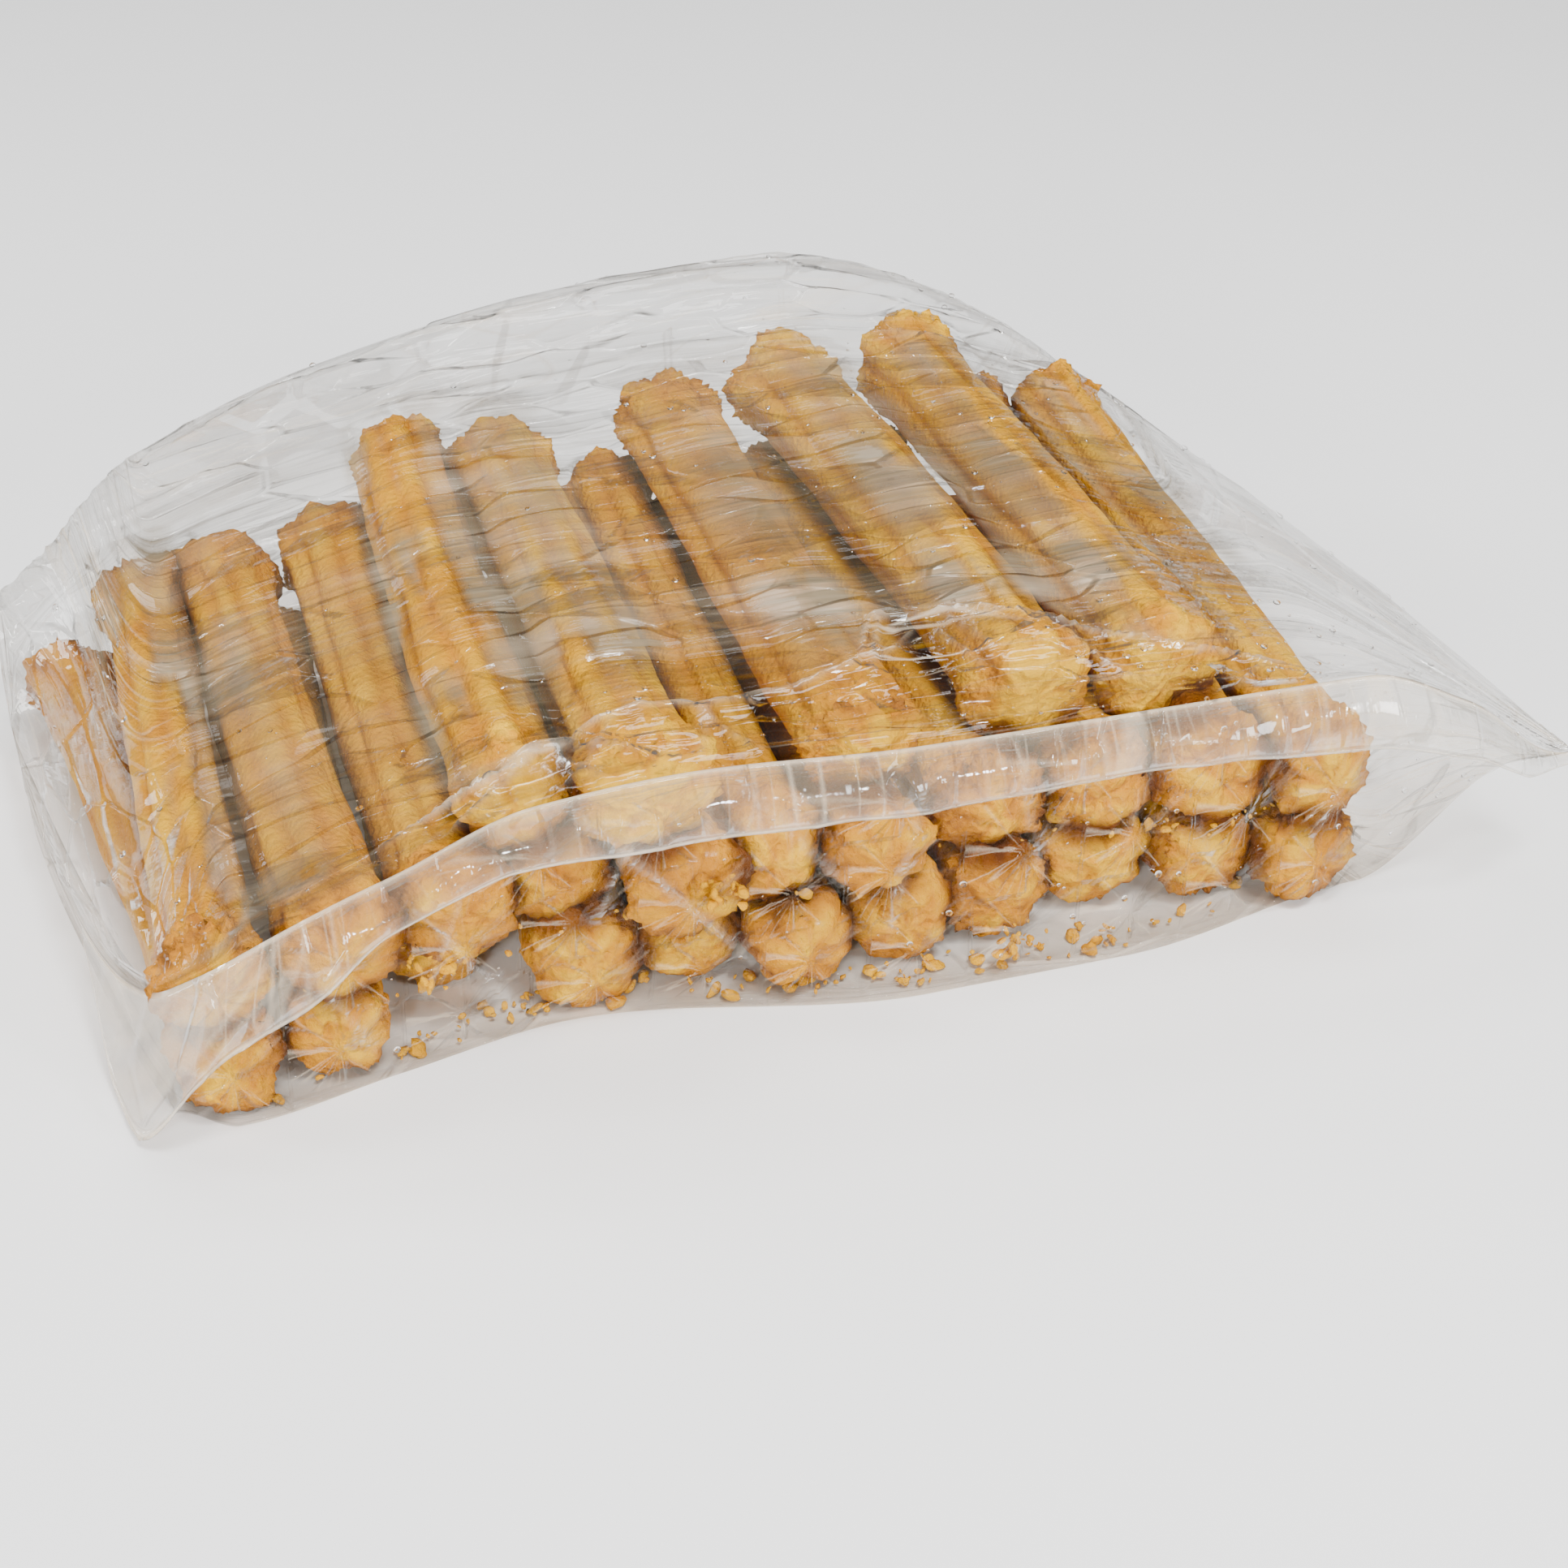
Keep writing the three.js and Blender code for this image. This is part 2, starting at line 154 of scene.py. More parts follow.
# ---- the film's own folds ---------------------------------------------------
# The line where the top sheet bends to the front, as (x, y); then single folds, each as
# start, end and height: over (x, y) on the top sheet and over (x, z) on the front face.
# The puff's folds run along it: each is its share of the way across, x from, x to, height.
CREASE_Y = (
    (-110, -100), (-76, -88), (-64, -84), (-28, -79), (6, -74), (17, -55), (32, -56), (50, -66),
    (72, -77), (92, -87), (110, -100),
)
TOP_FOLDS = (
    ((-64, -82), (-88, -105), 1.6), ((-62, -83), (-54, -105), 1.2), ((-60, -84), (-34, -104), 1.2),
    ((24, -61), (12, -73), 1.3), ((29, -62), (34, -80), 1.4), ((32, -55), (39, -77), 1.2),
    ((92, -92), (80, -105), 1.2), ((92, -90), (103, -106), 1.1), ((-28, -80), (-36, -104), 1.0),
    ((17, -54), (-58, -58), 1.0), ((18, -54), (8, -80), 1.8), ((-66, -84), (-104, -98), 1.6),
    ((-30, -80), (-22, -104), 1.2), ((-48, -82), (-66, -106), 1.0), ((54, -68), (66, -98), 1.2),
)
PUFF_FOLDS = (
    (0.79, -60, 120, 1.1), (0.84, -150, -10, 1.2), (0.87, 0, 150, 1.2), (0.91, -140, 60, 1.3),
    (0.945, 10, 130, 1.0), (0.965, -120, 20, 1.0),
)
FACE_FOLDS = (
    ((-67, 70), (-20, 9), 1.7), ((-32, 70), (-2, 28), 1.4), ((-92, 42), (-74, 10), 1.2),
    ((30, 62), (40, 22), 1.1), ((64, 60), (56, 26), 1.0), ((97, 60), (84, 24), 1.1),
    ((118, 58), (102, 14), 1.1), ((-118, 40), (-104, 8), 1.2), ((12, 60), (4, 12), 1.1),
    ((-48, 66), (-58, 30), 1.2), ((74, 34), (88, 4), 1.0), ((-84, 52), (-96, 16), 1.1),
)
FOLD_WIDTH = 0.9
TOP_FAN, FACE_FAN = (1.2, 13, 9), (1.3, 11, 11)  # height, reach and number of the lines in a fan
FILM_SAG = 2.6  # how far slack film sinks between two churros
FILM_THICKNESS = 0.2
SOAKED_DOUGH = (0.26, 0.18, 0.20)  # painted shade: what the dough's colour keeps where two churros lie close together
LEAST_GAP = 0.25  # film that touches a churro lies this far off it
FARTHEST_GAP = 12.0
DEEPEST_CROSSING = 5.0
SEAL_SPAN = (-159.0, 168.0)
SEAL_MILK, SEAL_SLACK, SEAL_GLINT, SEAL_GLOSS = 0.055, 0.2, 0.3, 0.9
SEAM_WIDTH = 0.35  # half width of the pressed lines at both edges of the seal
CREASE_RISE, CREASE_WIDTH = 1.8, 0.8
# Painted highlight: how white sharp folds, the bend to the front and the foot of the front are painted.
FOLD_WHITENESS = 0.24
# Painted glints: how white the thin threads along the fine creases are painted.
THREAD_MILK = 0.40
# Painted shade: what is seen through the film darkens to this colour at its grazing outline and along its
# dark crease lines.
RIM_TINT, RIM_SHARPNESS = (0.60, 0.59, 0.57), 4.0
FOLD_SHADE = 0.35
FACET_TILT = 1500.0
END_RAYS = 15.0  # the higher, the more creases radiate from each churro's end
FLOW_SPAN, FLOW_SHARE = 200.0, 0.7  # how far the wrinkles follow the pouch's outline
STICKING_GAP = (1.5, 3.6)  # the film clings below the first gap and is hazy above the second
FLAP_SLANT = 0.28  # the flap hangs this much to the left for each millimetre down
HEAP_SEED, DROPLET_SEED, CRUMB_SEED, CRUMB_NOISE = 500, 17, 23, 61
DROPLET_RADIUS, DROPLET_SPREAD, DROPLET_HEIGHT = 0.24, 0.75, 0.55  # height as a share of radius
CRUMB_RADIUS, CRUMB_SPREAD, CRUMB_ROUGHNESS = 0.55, 1.9, 0.5
CRUMB_HEAPS = ((-92.0, -100.0, 27.0), (36.0, -100.0, 6.0), (-30.0, -101.0, 34.0))

CRUST_LIGHTNESS = 0.48  # taken off the browning and painted shade before the colour is looked up
CRUST_SHEEN = 0.12
CRUMB_BROWNING = 0.26
LEAST_VEIL = 0.003
FILM_ROUGHNESS = 0.045
FILM_IOR, WATER_IOR = 1.45, 1.33
INNER_LOSS = 0.6  # share of its gloss that the film loses on its inner side

# ---- mesh fineness ----------------------------------------------------------
CAP_RINGS = 0.17  # share of a churro's rings that each rounded end takes
RING_EASING = 0.11  # crowds the other rings towards the ends
TOP_FINENESS = 1.4  # the top layer's mesh is finer by this much
STATIONS = 300
TOP_STEPS = 196
FACE_STEPS = 56
BACK_STEPS = 20
UNDER_STEPS = 6
SEAL_COLUMNS, SEAL_ROWS = 420, 18
DRAPE_ROUNDS = ((4, 220), (2, 160), (1, 90))  # the top sheet settles first on coarser grids
FACE_ROUNDS = 160
OVER_RELAXATION = 1.7
FACE_STIFFNESS = 1.2
LEAST_STEP = 0.08
PRESSED_GAP = (0.3, 6.0)  # gaps between churros over which the painted shade between them fades from full to none

# ---- the stage --------------------------------------------------------------
WHITE = (1.0, 1.0, 1.0)
FLOOR_SIZE = 6.0
LIGHTS_AIM = (0.0, 0.0, 0.03)
# Each soft light as its name, place and size in metres, and its share of the key light's power.
SOFT_BOXES = (
    ("key_soft_box", (-1.0, -1.35, 0.60), (0.30, 0.28), 0.74),
    ("fill_soft_box", (1.05, -1.35, 0.55), (0.28, 0.26), 0.54),
    ("front_overhead_box", (0.05, -0.72, 1.40), (0.8, 0.3), 0.72),
    ("left_glint_box", (-0.62, -1.30, 0.78), (0.08, 0.08), 0.25),
    ("right_glint_box", (0.62, -1.25, 0.72), (0.08, 0.08), 0.20),
    ("top_glint_box", (0.18, -0.55, 1.35), (0.26, 0.18), 0.62),
    ("rear_overhead_box", (0.10, 0.70, 1.60), (1.2, 0.4), 0.62),
    ("left_soft_box", (-1.15, 0.55, 0.42), (0.3, 0.7), 0.45),
)
FRAME_WIDTH_PX = 1932
FOCAL_PX = 3140  # focal length in pixels of a frame that wide
SENSOR_MM = 36.0
CAMERA_AT = (-145.6, -519.9, 340.0)
CAMERA_DOWN = 33.0
CAMERA_ROUND = 17.2


# ---- settings ---------------------------------------------------------------
COLOUR = {"subtype": "COLOR", "size": 3, "min": 0.0, "max": 1.0}
FACTOR = {"subtype": "FACTOR", "min": 0.0, "max": 1.0}


class ChurroSettings(bpy.types.PropertyGroup):
    ridge_depth: bpy.props.FloatProperty(
        name="Ridge Depth", description="Depth of the grooves between the piped ridges, in millimetres",
        default=2.6, min=0.0, max=4.0)
    crust_pale: bpy.props.FloatVectorProperty(
        name="Pale Crust", description="Colour of the lightest fried dough",
        default=(0.79, 0.432, 0.010), **COLOUR)
    crust_golden: bpy.props.FloatVectorProperty(
        name="Golden Crust", description="Main colour of the fried dough",
        default=(0.63, 0.284, 0.004), **COLOUR)
    crust_toasted: bpy.props.FloatVectorProperty(
        name="Toasted Crust", description="Colour of the darker golden patches and of the ends' rims",
        default=(0.56, 0.22, 0.007), **COLOUR)
    crust_brown: bpy.props.FloatVectorProperty(
        name="Browned Crust", description="Colour of the browned spots and torn edges",
        default=(0.31, 0.11, 0.010), **COLOUR)
    around: bpy.props.IntProperty(
        name="Facets Around", description="Mesh divisions round a churro", default=72, min=16)
    rings: bpy.props.IntProperty(
        name="Rings", description="Mesh divisions along a churro", default=118, min=16)


class FilmSettings(bpy.types.PropertyGroup):
    wrinkle: bpy.props.FloatProperty(
        name="Wrinkle Height", description="Height of the long wrinkles, in millimetres",
        default=0.7, min=0.0, max=3.0)
    haze: bpy.props.FloatProperty(
        name="Haze", description="How strongly the film veils what it stands off from",
        default=0.60, **FACTOR)
    shine: bpy.props.FloatProperty(
        name="Shine", description="Share of its mirror gloss that the film keeps",
        default=0.6, **FACTOR)
    # The darker bands of the haze, and the dark lines along creases, which are painted reflection of dark
    # surroundings.
    veil_dark: bpy.props.FloatVectorProperty(
        name="Dark Veil", description="Colour of the film's haze in its darker bands",
        default=(0.19, 0.145, 0.085), **COLOUR)
    veil_pale: bpy.props.FloatVectorProperty(
        name="Pale Veil", description="Colour of the film's haze in its paler bands",
        default=(0.50, 0.39, 0.27), **COLOUR)
    # Colour of the real pressed seams, and of the painted highlights and glints along folds and fine
    # creases.
    milk: bpy.props.FloatVectorProperty(
        name="Milk", description="Colour of pressed seams and of whitened folds",
        default=(0.92, 0.76, 0.56), **COLOUR)
    tint: bpy.props.FloatVectorProperty(
        name="Tint", description="Colour of the film by the light it lets through",
        default=(0.985, 0.985, 0.98), **COLOUR)
    droplets: bpy.props.IntProperty(
        name="Droplets", description="Water droplets on the film", default=700, min=0)
    crumbs: bpy.props.IntProperty(
        name="Crumbs", description="Crumbs and flakes in the bag", default=260, min=0)


class StageSettings(bpy.types.PropertyGroup):
    floor_colour: bpy.props.FloatVectorProperty(
        name="Floor", description="Colour of the floor", default=(0.9, 0.9, 0.9),
        **COLOUR)
    surround: bpy.props.FloatProperty(
        name="Surround", description="Brightness of the surround", default=0.14, min=0.0)
    key_power: bpy.props.FloatProperty(
        name="Key Light", description="Power of the main soft light", default=26.0, unit="POWER")


# ---- numbers and noise ------------------------------------------------------
def along(pairs, x):
    """Smooth value at x (a number or an array) through a short list of (x, value) pairs."""
    stops, values = np.array(pairs, float).T
    steps = np.diff(stops)
    rises = np.diff(values) / steps
    slopes = np.zeros(len(stops))
    before, after = rises[:-1], rises[1:]
    same = before * after > 0
    slopes[1:-1][same] = (2 * before * after)[same] / (before + after)[same]
    x = np.clip(np.asarray(x, float), stops[0], stops[-1])
    i = np.clip(np.searchsorted(stops, x, side="right") - 1, 0, len(steps) - 1)
    s = (x - stops[i]) / steps[i]
    plain = (1 + 2 * s) * (1 - s) ** 2 * values[i] + s * s * (3 - 2 * s) * values[i + 1]
    bent = s * (1 - s) ** 2 * slopes[i] - s * s * (1 - s) * slopes[i + 1]
    return plain + steps[i] * bent


def smoothstep(x, low, high):
    s = np.clip((np.asarray(x, float) - low) / (high - low), 0, 1)
    return s * s * (3 - 2 * s)


def lerp(a, b, share):
    return a + (b - a) * share


def across_rows(first, last, share):
    """For each pair of first and last values, one row from the one to the other by shares."""
    return lerp(first[:, None], last[:, None], share[None, :])


def band(x, start, full, fading, end):
    """1 from full to fading, falling to 0 at start and at end."""
    return smoothstep(x, start, full) * (1 - smoothstep(x, fading, end))


def xyz(a, b, c):
    """Three numbers or arrays as points, along a new last axis."""
    return np.stack(np.broadcast_arrays(a, b, c), axis=-1)


class Noise:
    """Gradient noise on a seeded lattice, roughly -1 to 1, for an array of points."""

    def __init__(self, seed):
        rng = np.random.default_rng(seed)
        self.order = rng.permutation(256)
        slopes = rng.normal(size=(256, 3))
        self.slopes = slopes / np.linalg.norm(slopes, axis=1, keepdims=True)

    def __call__(self, points):
        shape = points.shape[:-1]
        points = points.reshape(-1, 3)
        cell = np.floor(points).astype(int)
        inside = points - cell
        fade = inside ** 3 * (inside * (inside * 6 - 15) + 10)
        total = np.zeros(len(points))
        for corner in itertools.product((0, 1), repeat=3):
            at = (cell + corner) & 255
            pick = self.order[(self.order[(self.order[at[:, 0]] + at[:, 1]) & 255] + at[:, 2]) & 255]
            weight = np.prod(np.where(corner, fade, 1 - fade), axis=1)
            total += weight * np.sum(self.slopes[pick] * (inside - corner), axis=1)
        return (total * 1.6).reshape(shape)


def cells(points, seed):
    """Distance to the nearest of one seeded dot in each unit cell: 0 on a dot, about 1 between."""
    rng = np.random.default_rng(seed)
    order = rng.permutation(256)
    dots = rng.random((256, 3))
    cell = np.floor(points).astype(int)
    nearest = np.full(len(points), 9.0)
    for step in itertools.product((-1, 0, 1), repeat=3):
        at = (cell + step) & 255
        pick = order[(order[(order[at[:, 0]] + at[:, 1]) & 255] + at[:, 2]) & 255]
        away = cell + step + dots[pick] - points
        nearest = np.minimum(nearest, np.sum(away ** 2, axis=1))
    return np.sqrt(nearest)


# ---- mesh helpers -----------------------------------------------------------
def add_object(name, data):
    made = bpy.data.objects.new(name, data)
    bpy.context.scene.collection.objects.link(made)
    return made


def add_mesh(bm, name, material):
    """Turns a bmesh into an object of one material."""
    mesh = bpy.data.meshes.new(name)
    bm.to_mesh(mesh)
    bm.free()
    mesh.materials.append(material)
    return add_object(name, mesh)


def finish_piece(bm, name, material):
    """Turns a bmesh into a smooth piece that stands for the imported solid."""
    piece = add_mesh(bm, name, material)
    piece.data.shade_smooth()
    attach(piece, BODY)
    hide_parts(NODE)
    return piece


def add_values(piece, **layers):
    """Stores numbers or places for each vertex, by name, for the materials to read."""
    for name, values in layers.items():
        values = np.asarray(values, np.float32)
        kind, field = ("FLOAT_VECTOR", "vector") if values.ndim == 2 else ("FLOAT", "value")
        layer = piece.data.attributes.new(name, kind, "POINT")
        layer.data.foreach_set(field, values.ravel())


def places(bm):
    return np.array([v.co for v in bm.verts])


def ball(around, rings):
    """A sphere of rings, with each vertex's ring and its place round the ring."""
    bm = bmesh.new()
    bmesh.ops.create_uvsphere(bm, u_segments=around, v_segments=rings, radius=1.0)
    co = places(bm)
    ring = np.rint(np.arccos(np.clip(co[:, 2], -1, 1)) / math.pi * rings).astype(int)
    turn = np.mod(np.arctan2(co[:, 1], co[:, 0]), 2 * math.pi)
    seg = np.rint(turn / (2 * math.pi) * around).astype(int) % around
    return bm, ring, seg


def move_verts(bm, points):
    for vert, point in zip(bm.verts, points):
        vert.co = point


def face_outwards(bm):
    """Recalculates the normals of one closed body so that they point outwards."""
    bmesh.ops.recalc_face_normals(bm, faces=bm.faces)
    if bm.calc_volume(signed=True) < 0:
        bmesh.ops.reverse_faces(bm, faces=bm.faces)


def repeated(bm, shapes):
    """One body for each array of points: copies of a closed bmesh, moved onto them."""
    whole = bmesh.new()
    mesh = bpy.data.meshes.new("body")
    for points in shapes:
        body = bm.copy()
        move_verts(body, points)
        face_outwards(body)
        body.to_mesh(mesh)
        body.free()
        whole.from_mesh(mesh)
    bpy.data.meshes.remove(mesh)
    bm.free()
    return whole


def bead():
    """A coarse ball of radius 1, and its points."""
    bm = bmesh.new()
    bmesh.ops.create_icosphere(bm, subdivisions=2, radius=1.0)
    return bm, places(bm)


# ---- churros ----------------------------------------------------------------
def lay_churros():
    """Every churro with its ends in the model's frame, in millimetres."""
    churros = []
    for level, layer in enumerate(LAYERS):
        x = layer["first_x"]
        steps = layer["steps"] + (0,)
        for k, y in enumerate(layer["front_y"]):
            z = FIRST_AXIS_HEIGHT + level * LAYER_RISE
            rng = np.random.default_rng(HEAP_SEED + 100 * level + k)
            front = np.array((x, y, z + level * rng.uniform(*FRONT_UNEVENNESS))) + HEAP_AT
            back = np.array((x + layer["swing"][k], y + CHURRO_LENGTH, z + layer["lift"][k])) + HEAP_AT
            churros.append({
                "layer": layer["name"], "front": front, "back": back,
                "radius": CHURRO_RADIUS * layer["girth"][k], "seed": 100 * level + k,
            })
            x += steps[k]
    return churros


def end_profile(u):
    """Place along the churro (mm) and share of its radius, for rings at u from 0 to 1."""
    near = np.clip(np.minimum(u, 1 - u) / CAP_RINGS, 0, 1) * math.pi / 2
    from_end = END_ROUNDING * (1 - np.cos(near) ** END_BLUNTNESS)
    body = np.clip((u - CAP_RINGS) / (1 - 2 * CAP_RINGS), 0, 1)
    eased = body - RING_EASING * np.sin(2 * math.pi * body)
    place = END_ROUNDING + (CHURRO_LENGTH - 2 * END_ROUNDING) * eased
    place = np.where(u < CAP_RINGS, from_end, place)
    place = np.where(u > 1 - CAP_RINGS, CHURRO_LENGTH - from_end, place)
    return place, np.sin(near) ** END_BLUNTNESS


def end_facets(rng, across, up):
    """How far an end's face slopes back behind a few flat chamfers, as where dough was cut."""
    count = int(rng.integers(4, 7))
    deepest = np.zeros(len(across))
    for k in range(count):
        turn = 2 * math.pi * (k + rng.uniform(-0.35, 0.35)) / count
        beyond = across * math.cos(turn) + up * math.sin(turn) - rng.uniform(0.25, 0.65)
        deepest = np.maximum(deepest, rng.uniform(3.0, 9.0) * np.maximum(beyond, 0))
    return deepest


def end_relief(rng, across, up, lumps, grain):
    """How far one end's face is pushed in: slanted, faceted, lumpy, and some with a pit."""
    slant = rng.uniform(-1.8, 1.8, size=2)
    pit = rng.choice((0.0, 2.0, 4.5), p=(0.45, 0.3, 0.25))
    pit_at = rng.uniform(-0.3, 0.3, size=2)
    off = np.hypot(across - pit_at[0], up - pit_at[1])
    round_pit = np.arctan2(up - pit_at[1], across - pit_at[0])
    curl = 0.06 * np.sin(round_pit + off * 16)
    pit_floor = np.exp(-(((off + curl) / 0.17) ** 2))
    pit_rim = np.exp(-(((off + curl - 0.34) / 0.11) ** 2))
    push = pit * (pit_floor - 0.4 * pit_rim)
    push += slant[0] * across + slant[1] * up + end_facets(rng, across, up)
    return push + 2.6 * (lumps - 0.45) + 1.1 * grain


def shape_churro(churro, u, turn, ridge_depth):
    """Points of one churro (mm), how browned each is with painted shade and highlight added, and how deep
    it lies in a groove, which the crust darkens as painted shade.
    """
    rng = np.random.default_rng(churro["seed"])
    noise = Noise(churro["seed"] + 7)
    radius = churro["radius"]
    place, share = end_profile(u)
    round_x, round_z = np.cos(turn), np.sin(turn)
    spot = xyz(round_x * share * radius, place, round_z * share * radius)
    spot = spot + rng.uniform(0, 90, size=3)
    at_end = 1 - smoothstep(np.minimum(place, CHURRO_LENGTH - place), 6, 22)

    ridges = rng.integers(7, 10)
    twist = rng.uniform(-0.3, 0.3) * place / CHURRO_LENGTH + rng.uniform(0, 2 * math.pi)
    wander = 0.14 * noise(xyz(place / 26, round_x * 1.2, round_z * 1.2))
    ridge = np.abs(np.sin(ridges * (turn + twist + wander) / 2)) ** 0.8
    uneven = 0.8 + 0.5 * noise(spot / (13, 40, 13) + 40)
    groove = ridge_depth * uneven * (1 - ridge) * share ** 0.7 * (1 - rng.uniform(0.1, 0.75) * at_end)

    low = noise(spot / (15, 34, 15) + 5)
    middle = noise(spot / (6, 11, 6) + 11)
    grain = noise(spot / 2.1 + 23)
    crumbs = np.abs(noise(spot / 1.7 + 31))
    lumps = cells(spot / 8.5, churro["seed"])
    lobes = noise(xyz(round_x * 1.3 + 3, round_z * 1.3, place / 30))
    rim = smoothstep(share, 0.55, 0.9) * at_end
    rough = rng.uniform(0.3, 1.0)
    height = radius * share - 0.4 - groove + share * (0.7 * low + 0.4 * middle + 0.15 * grain)
    height += share * (1 - at_end) * 0.35 * crumbs * (1 - ridge)
    height += share * at_end * (2.4 * (0.45 - lumps) + 2.4 * lobes + rng.uniform(0.6, 2.0))
    crag = smoothstep(noise(spot / 6.5 + 77), -0.15, 0.35) * rough
    height += share * at_end * (0.6 * grain + crag * (1.8 * crumbs - 0.4))
    height += rim * rough * (2.6 * crumbs - 0.4)

    inward = np.where(place < CHURRO_LENGTH / 2, 1, -1) * (1 - share ** 4) * at_end
    push = inward * end_relief(rng, round_x * share, round_z * share, lumps, grain)
    squash = 1 + rng.uniform(-0.06, 0.05)
    bow = rng.uniform(-1.8, 1.8) * np.sin(math.pi * place / CHURRO_LENGTH)
    along_axis = (place / CHURRO_LENGTH)[:, None]
    centre = churro["front"] + (churro["back"] - churro["front"]) * along_axis
    points = centre + xyz(round_x * height / squash + bow, push, round_z * height * squash)
    points[:, 2] = np.maximum(points[:, 2], LOWEST_CRUST)

    spots = smoothstep(noise(spot / (7, 12, 7) + 60), 0.3, 0.65)
    toast = 0.34 + 0.2 * low + 0.14 * middle + 0.3 * rough * spots + rng.uniform(-0.08, 0.12)
    # Rims brown more; the creases between an end's lumps are darkened as painted shade.
    toast += rim * (0.10 + 0.55 * rough * crumbs) + at_end * 0.75 * (lumps - 0.42)
    toast += at_end * crag * (0.25 * grain + 0.5 * crumbs)
    # Paler towards the middle of each end; the top layer's ends are painted paler still, a painted
    # highlight where they face the lights.
    toast -= at_end * (0.16 * (1 - share) + (0.24 if churro["layer"] == "top" else -0.02))
    return points, np.clip(toast, 0, 1), 1 - ridge


def pressed(points, churro, heap):
    """How much painted shade darkens a churro where it lies against another one: 1 there, falling to 0
    where it is free.
    """
    nearest = np.full(len(points), 99.0)
    for other in heap:
        if other["seed"] != churro["seed"]:
            run = other["back"] - other["front"]
            t = np.clip((points - other["front"]) @ run / (run @ run), 0.03, 0.97)
            away = np.linalg.norm(points - other["front"] - t[:, None] * run, axis=1)
            nearest = np.minimum(nearest, away - other["radius"])
    return 1 - smoothstep(nearest, *PRESSED_GAP)


def build_layer(layer, settings, material):
    """All churros of one layer as one piece, with what its material reads."""
    finer = TOP_FINENESS if layer == "top" else 1
    around, rings = int(settings.around * finer), int(settings.rings * finer)
    bm, ring, seg = ball(around, rings)
    u, turn = ring / rings, seg / around * 2 * math.pi
    heap = lay_churros()
    shaped = []
    for churro in heap:
        if churro["layer"] == layer:
            points, toast, groove = shape_churro(churro, u, turn, settings.ridge_depth)
            shaped.append((points, toast, groove, pressed(points, churro, heap)))
    points, toast, groove, press = zip(*shaped)
    whole = repeated(bm, [p * MM for p in points])
    piece = finish_piece(whole, f"churros_{layer}", material)
    add_values(
        piece, toast=np.concatenate(toast), groove=np.concatenate(groove), pressed=np.concatenate(press))
    return piece


# ---- the film's drape -------------------------------------------------------
def churro_top(churro, x, y):
    """Height of the top of one churro over points (x, y), 0 beside it."""
    front, back, radius = churro["front"], churro["back"], churro["radius"]
    t = np.clip((y - front[1]) / (back[1] - front[1]), 0, 1)
    beyond = np.maximum(np.maximum(front[1] - y, y - back[1]), -END_ROUNDING) / END_ROUNDING
    rounding = np.clip(1 - (beyond + 1) ** 2, 0, None)
    left = radius ** 2 * np.sqrt(rounding) - (x - lerp(front[0], back[0], t)) ** 2
    return np.where(left > 0, lerp(front[2], back[2], t) + np.sqrt(np.maximum(left, 0)), 0)


def churro_face(churro, x, z):
    """How far forward a churro's front end reaches at (x, z), as least y."""
    front, radius = churro["front"], churro["radius"]
    share = np.hypot(x - front[0], z - front[2]) / radius
    rise = np.sqrt(np.clip(1 - np.clip(share, 0, 1) ** (2 / END_BLUNTNESS), 0, 1)) ** END_BLUNTNESS
    return np.where(share < 1, front[1] + END_ROUNDING * (1 - rise) - FILM_CLEARANCE, np.inf)


def puff_top(x, y):
    """Height of the loose ridge of film behind the heap."""
    away = x - PUFF_PEAK[0]
    fall = np.where(away < 0, PUFF_FALL_LEFT, PUFF_FALL_RIGHT)
    off = np.abs(y - along(PUFF_LINE_Y, x))
    return np.where(off < PUFF_HALF_DEPTH, PUFF_PEAK[1] - fall * away ** 2, 0)


def relax(grid, support, weight_x, weight_y, rounds):
    """Lets a sheet settle like a taut skin over its supports."""
    rows, columns = grid.shape
    i, j = np.meshgrid(np.arange(1, rows - 1), np.arange(1, columns - 1), indexing="ij")
    inner = (slice(1, -1), slice(1, -1))
    wx = np.broadcast_to(weight_x[1:-1, None], i.shape)
    wy = np.broadcast_to(weight_y[1:-1, None], i.shape)
    for _ in range(rounds):
        for parity in (0, 1):
            pull = wx * (grid[:-2, 1:-1] + grid[2:, 1:-1]) + wy * (grid[1:-1, :-2] + grid[1:-1, 2:])
            level = pull / (2 * (wx + wy))
            moved = np.maximum(grid[inner] + OVER_RELAXATION * (level - grid[inner]), support[inner])
            grid[inner] = np.where((i + j) % 2 == parity, moved, grid[inner])
    return grid


def resample(grid, rows, columns):
    """A coarse sheet read at a finer spacing."""
    old_rows, old_columns = grid.shape
    r = np.linspace(0, old_rows - 1, rows)
    c = np.linspace(0, old_columns - 1, columns)
    r0 = np.clip(r.astype(int), 0, old_rows - 2)
    c0 = np.clip(c.astype(int), 0, old_columns - 2)
    fr, fc = (r - r0)[:, None], (c - c0)[None, :]
    low = lerp(grid[r0][:, c0], grid[r0][:, c0 + 1], fc)
    high = lerp(grid[r0 + 1][:, c0], grid[r0 + 1][:, c0 + 1], fc)
    return lerp(low, high, fr)


def station_places(count=STATIONS):
    """Cross-section places, closer together towards both ends of the pouch."""
    u = np.linspace(0, 1, count + 1)
    return lerp(LEFT_END[0], EAR_TIP[0], u - STATION_EASING * np.sin(2 * math.pi * u))


def base_lift(x):
    """How far the underside hangs above the floor: none under the heap."""
    right = smoothstep(x, *BASE_LIFT_RIGHT) * (EAR_TIP[2] - END_BELLY)
    left = (1 - smoothstep(x, *BASE_LIFT_LEFT)) * END_BELLY
    return np.maximum(left, right)


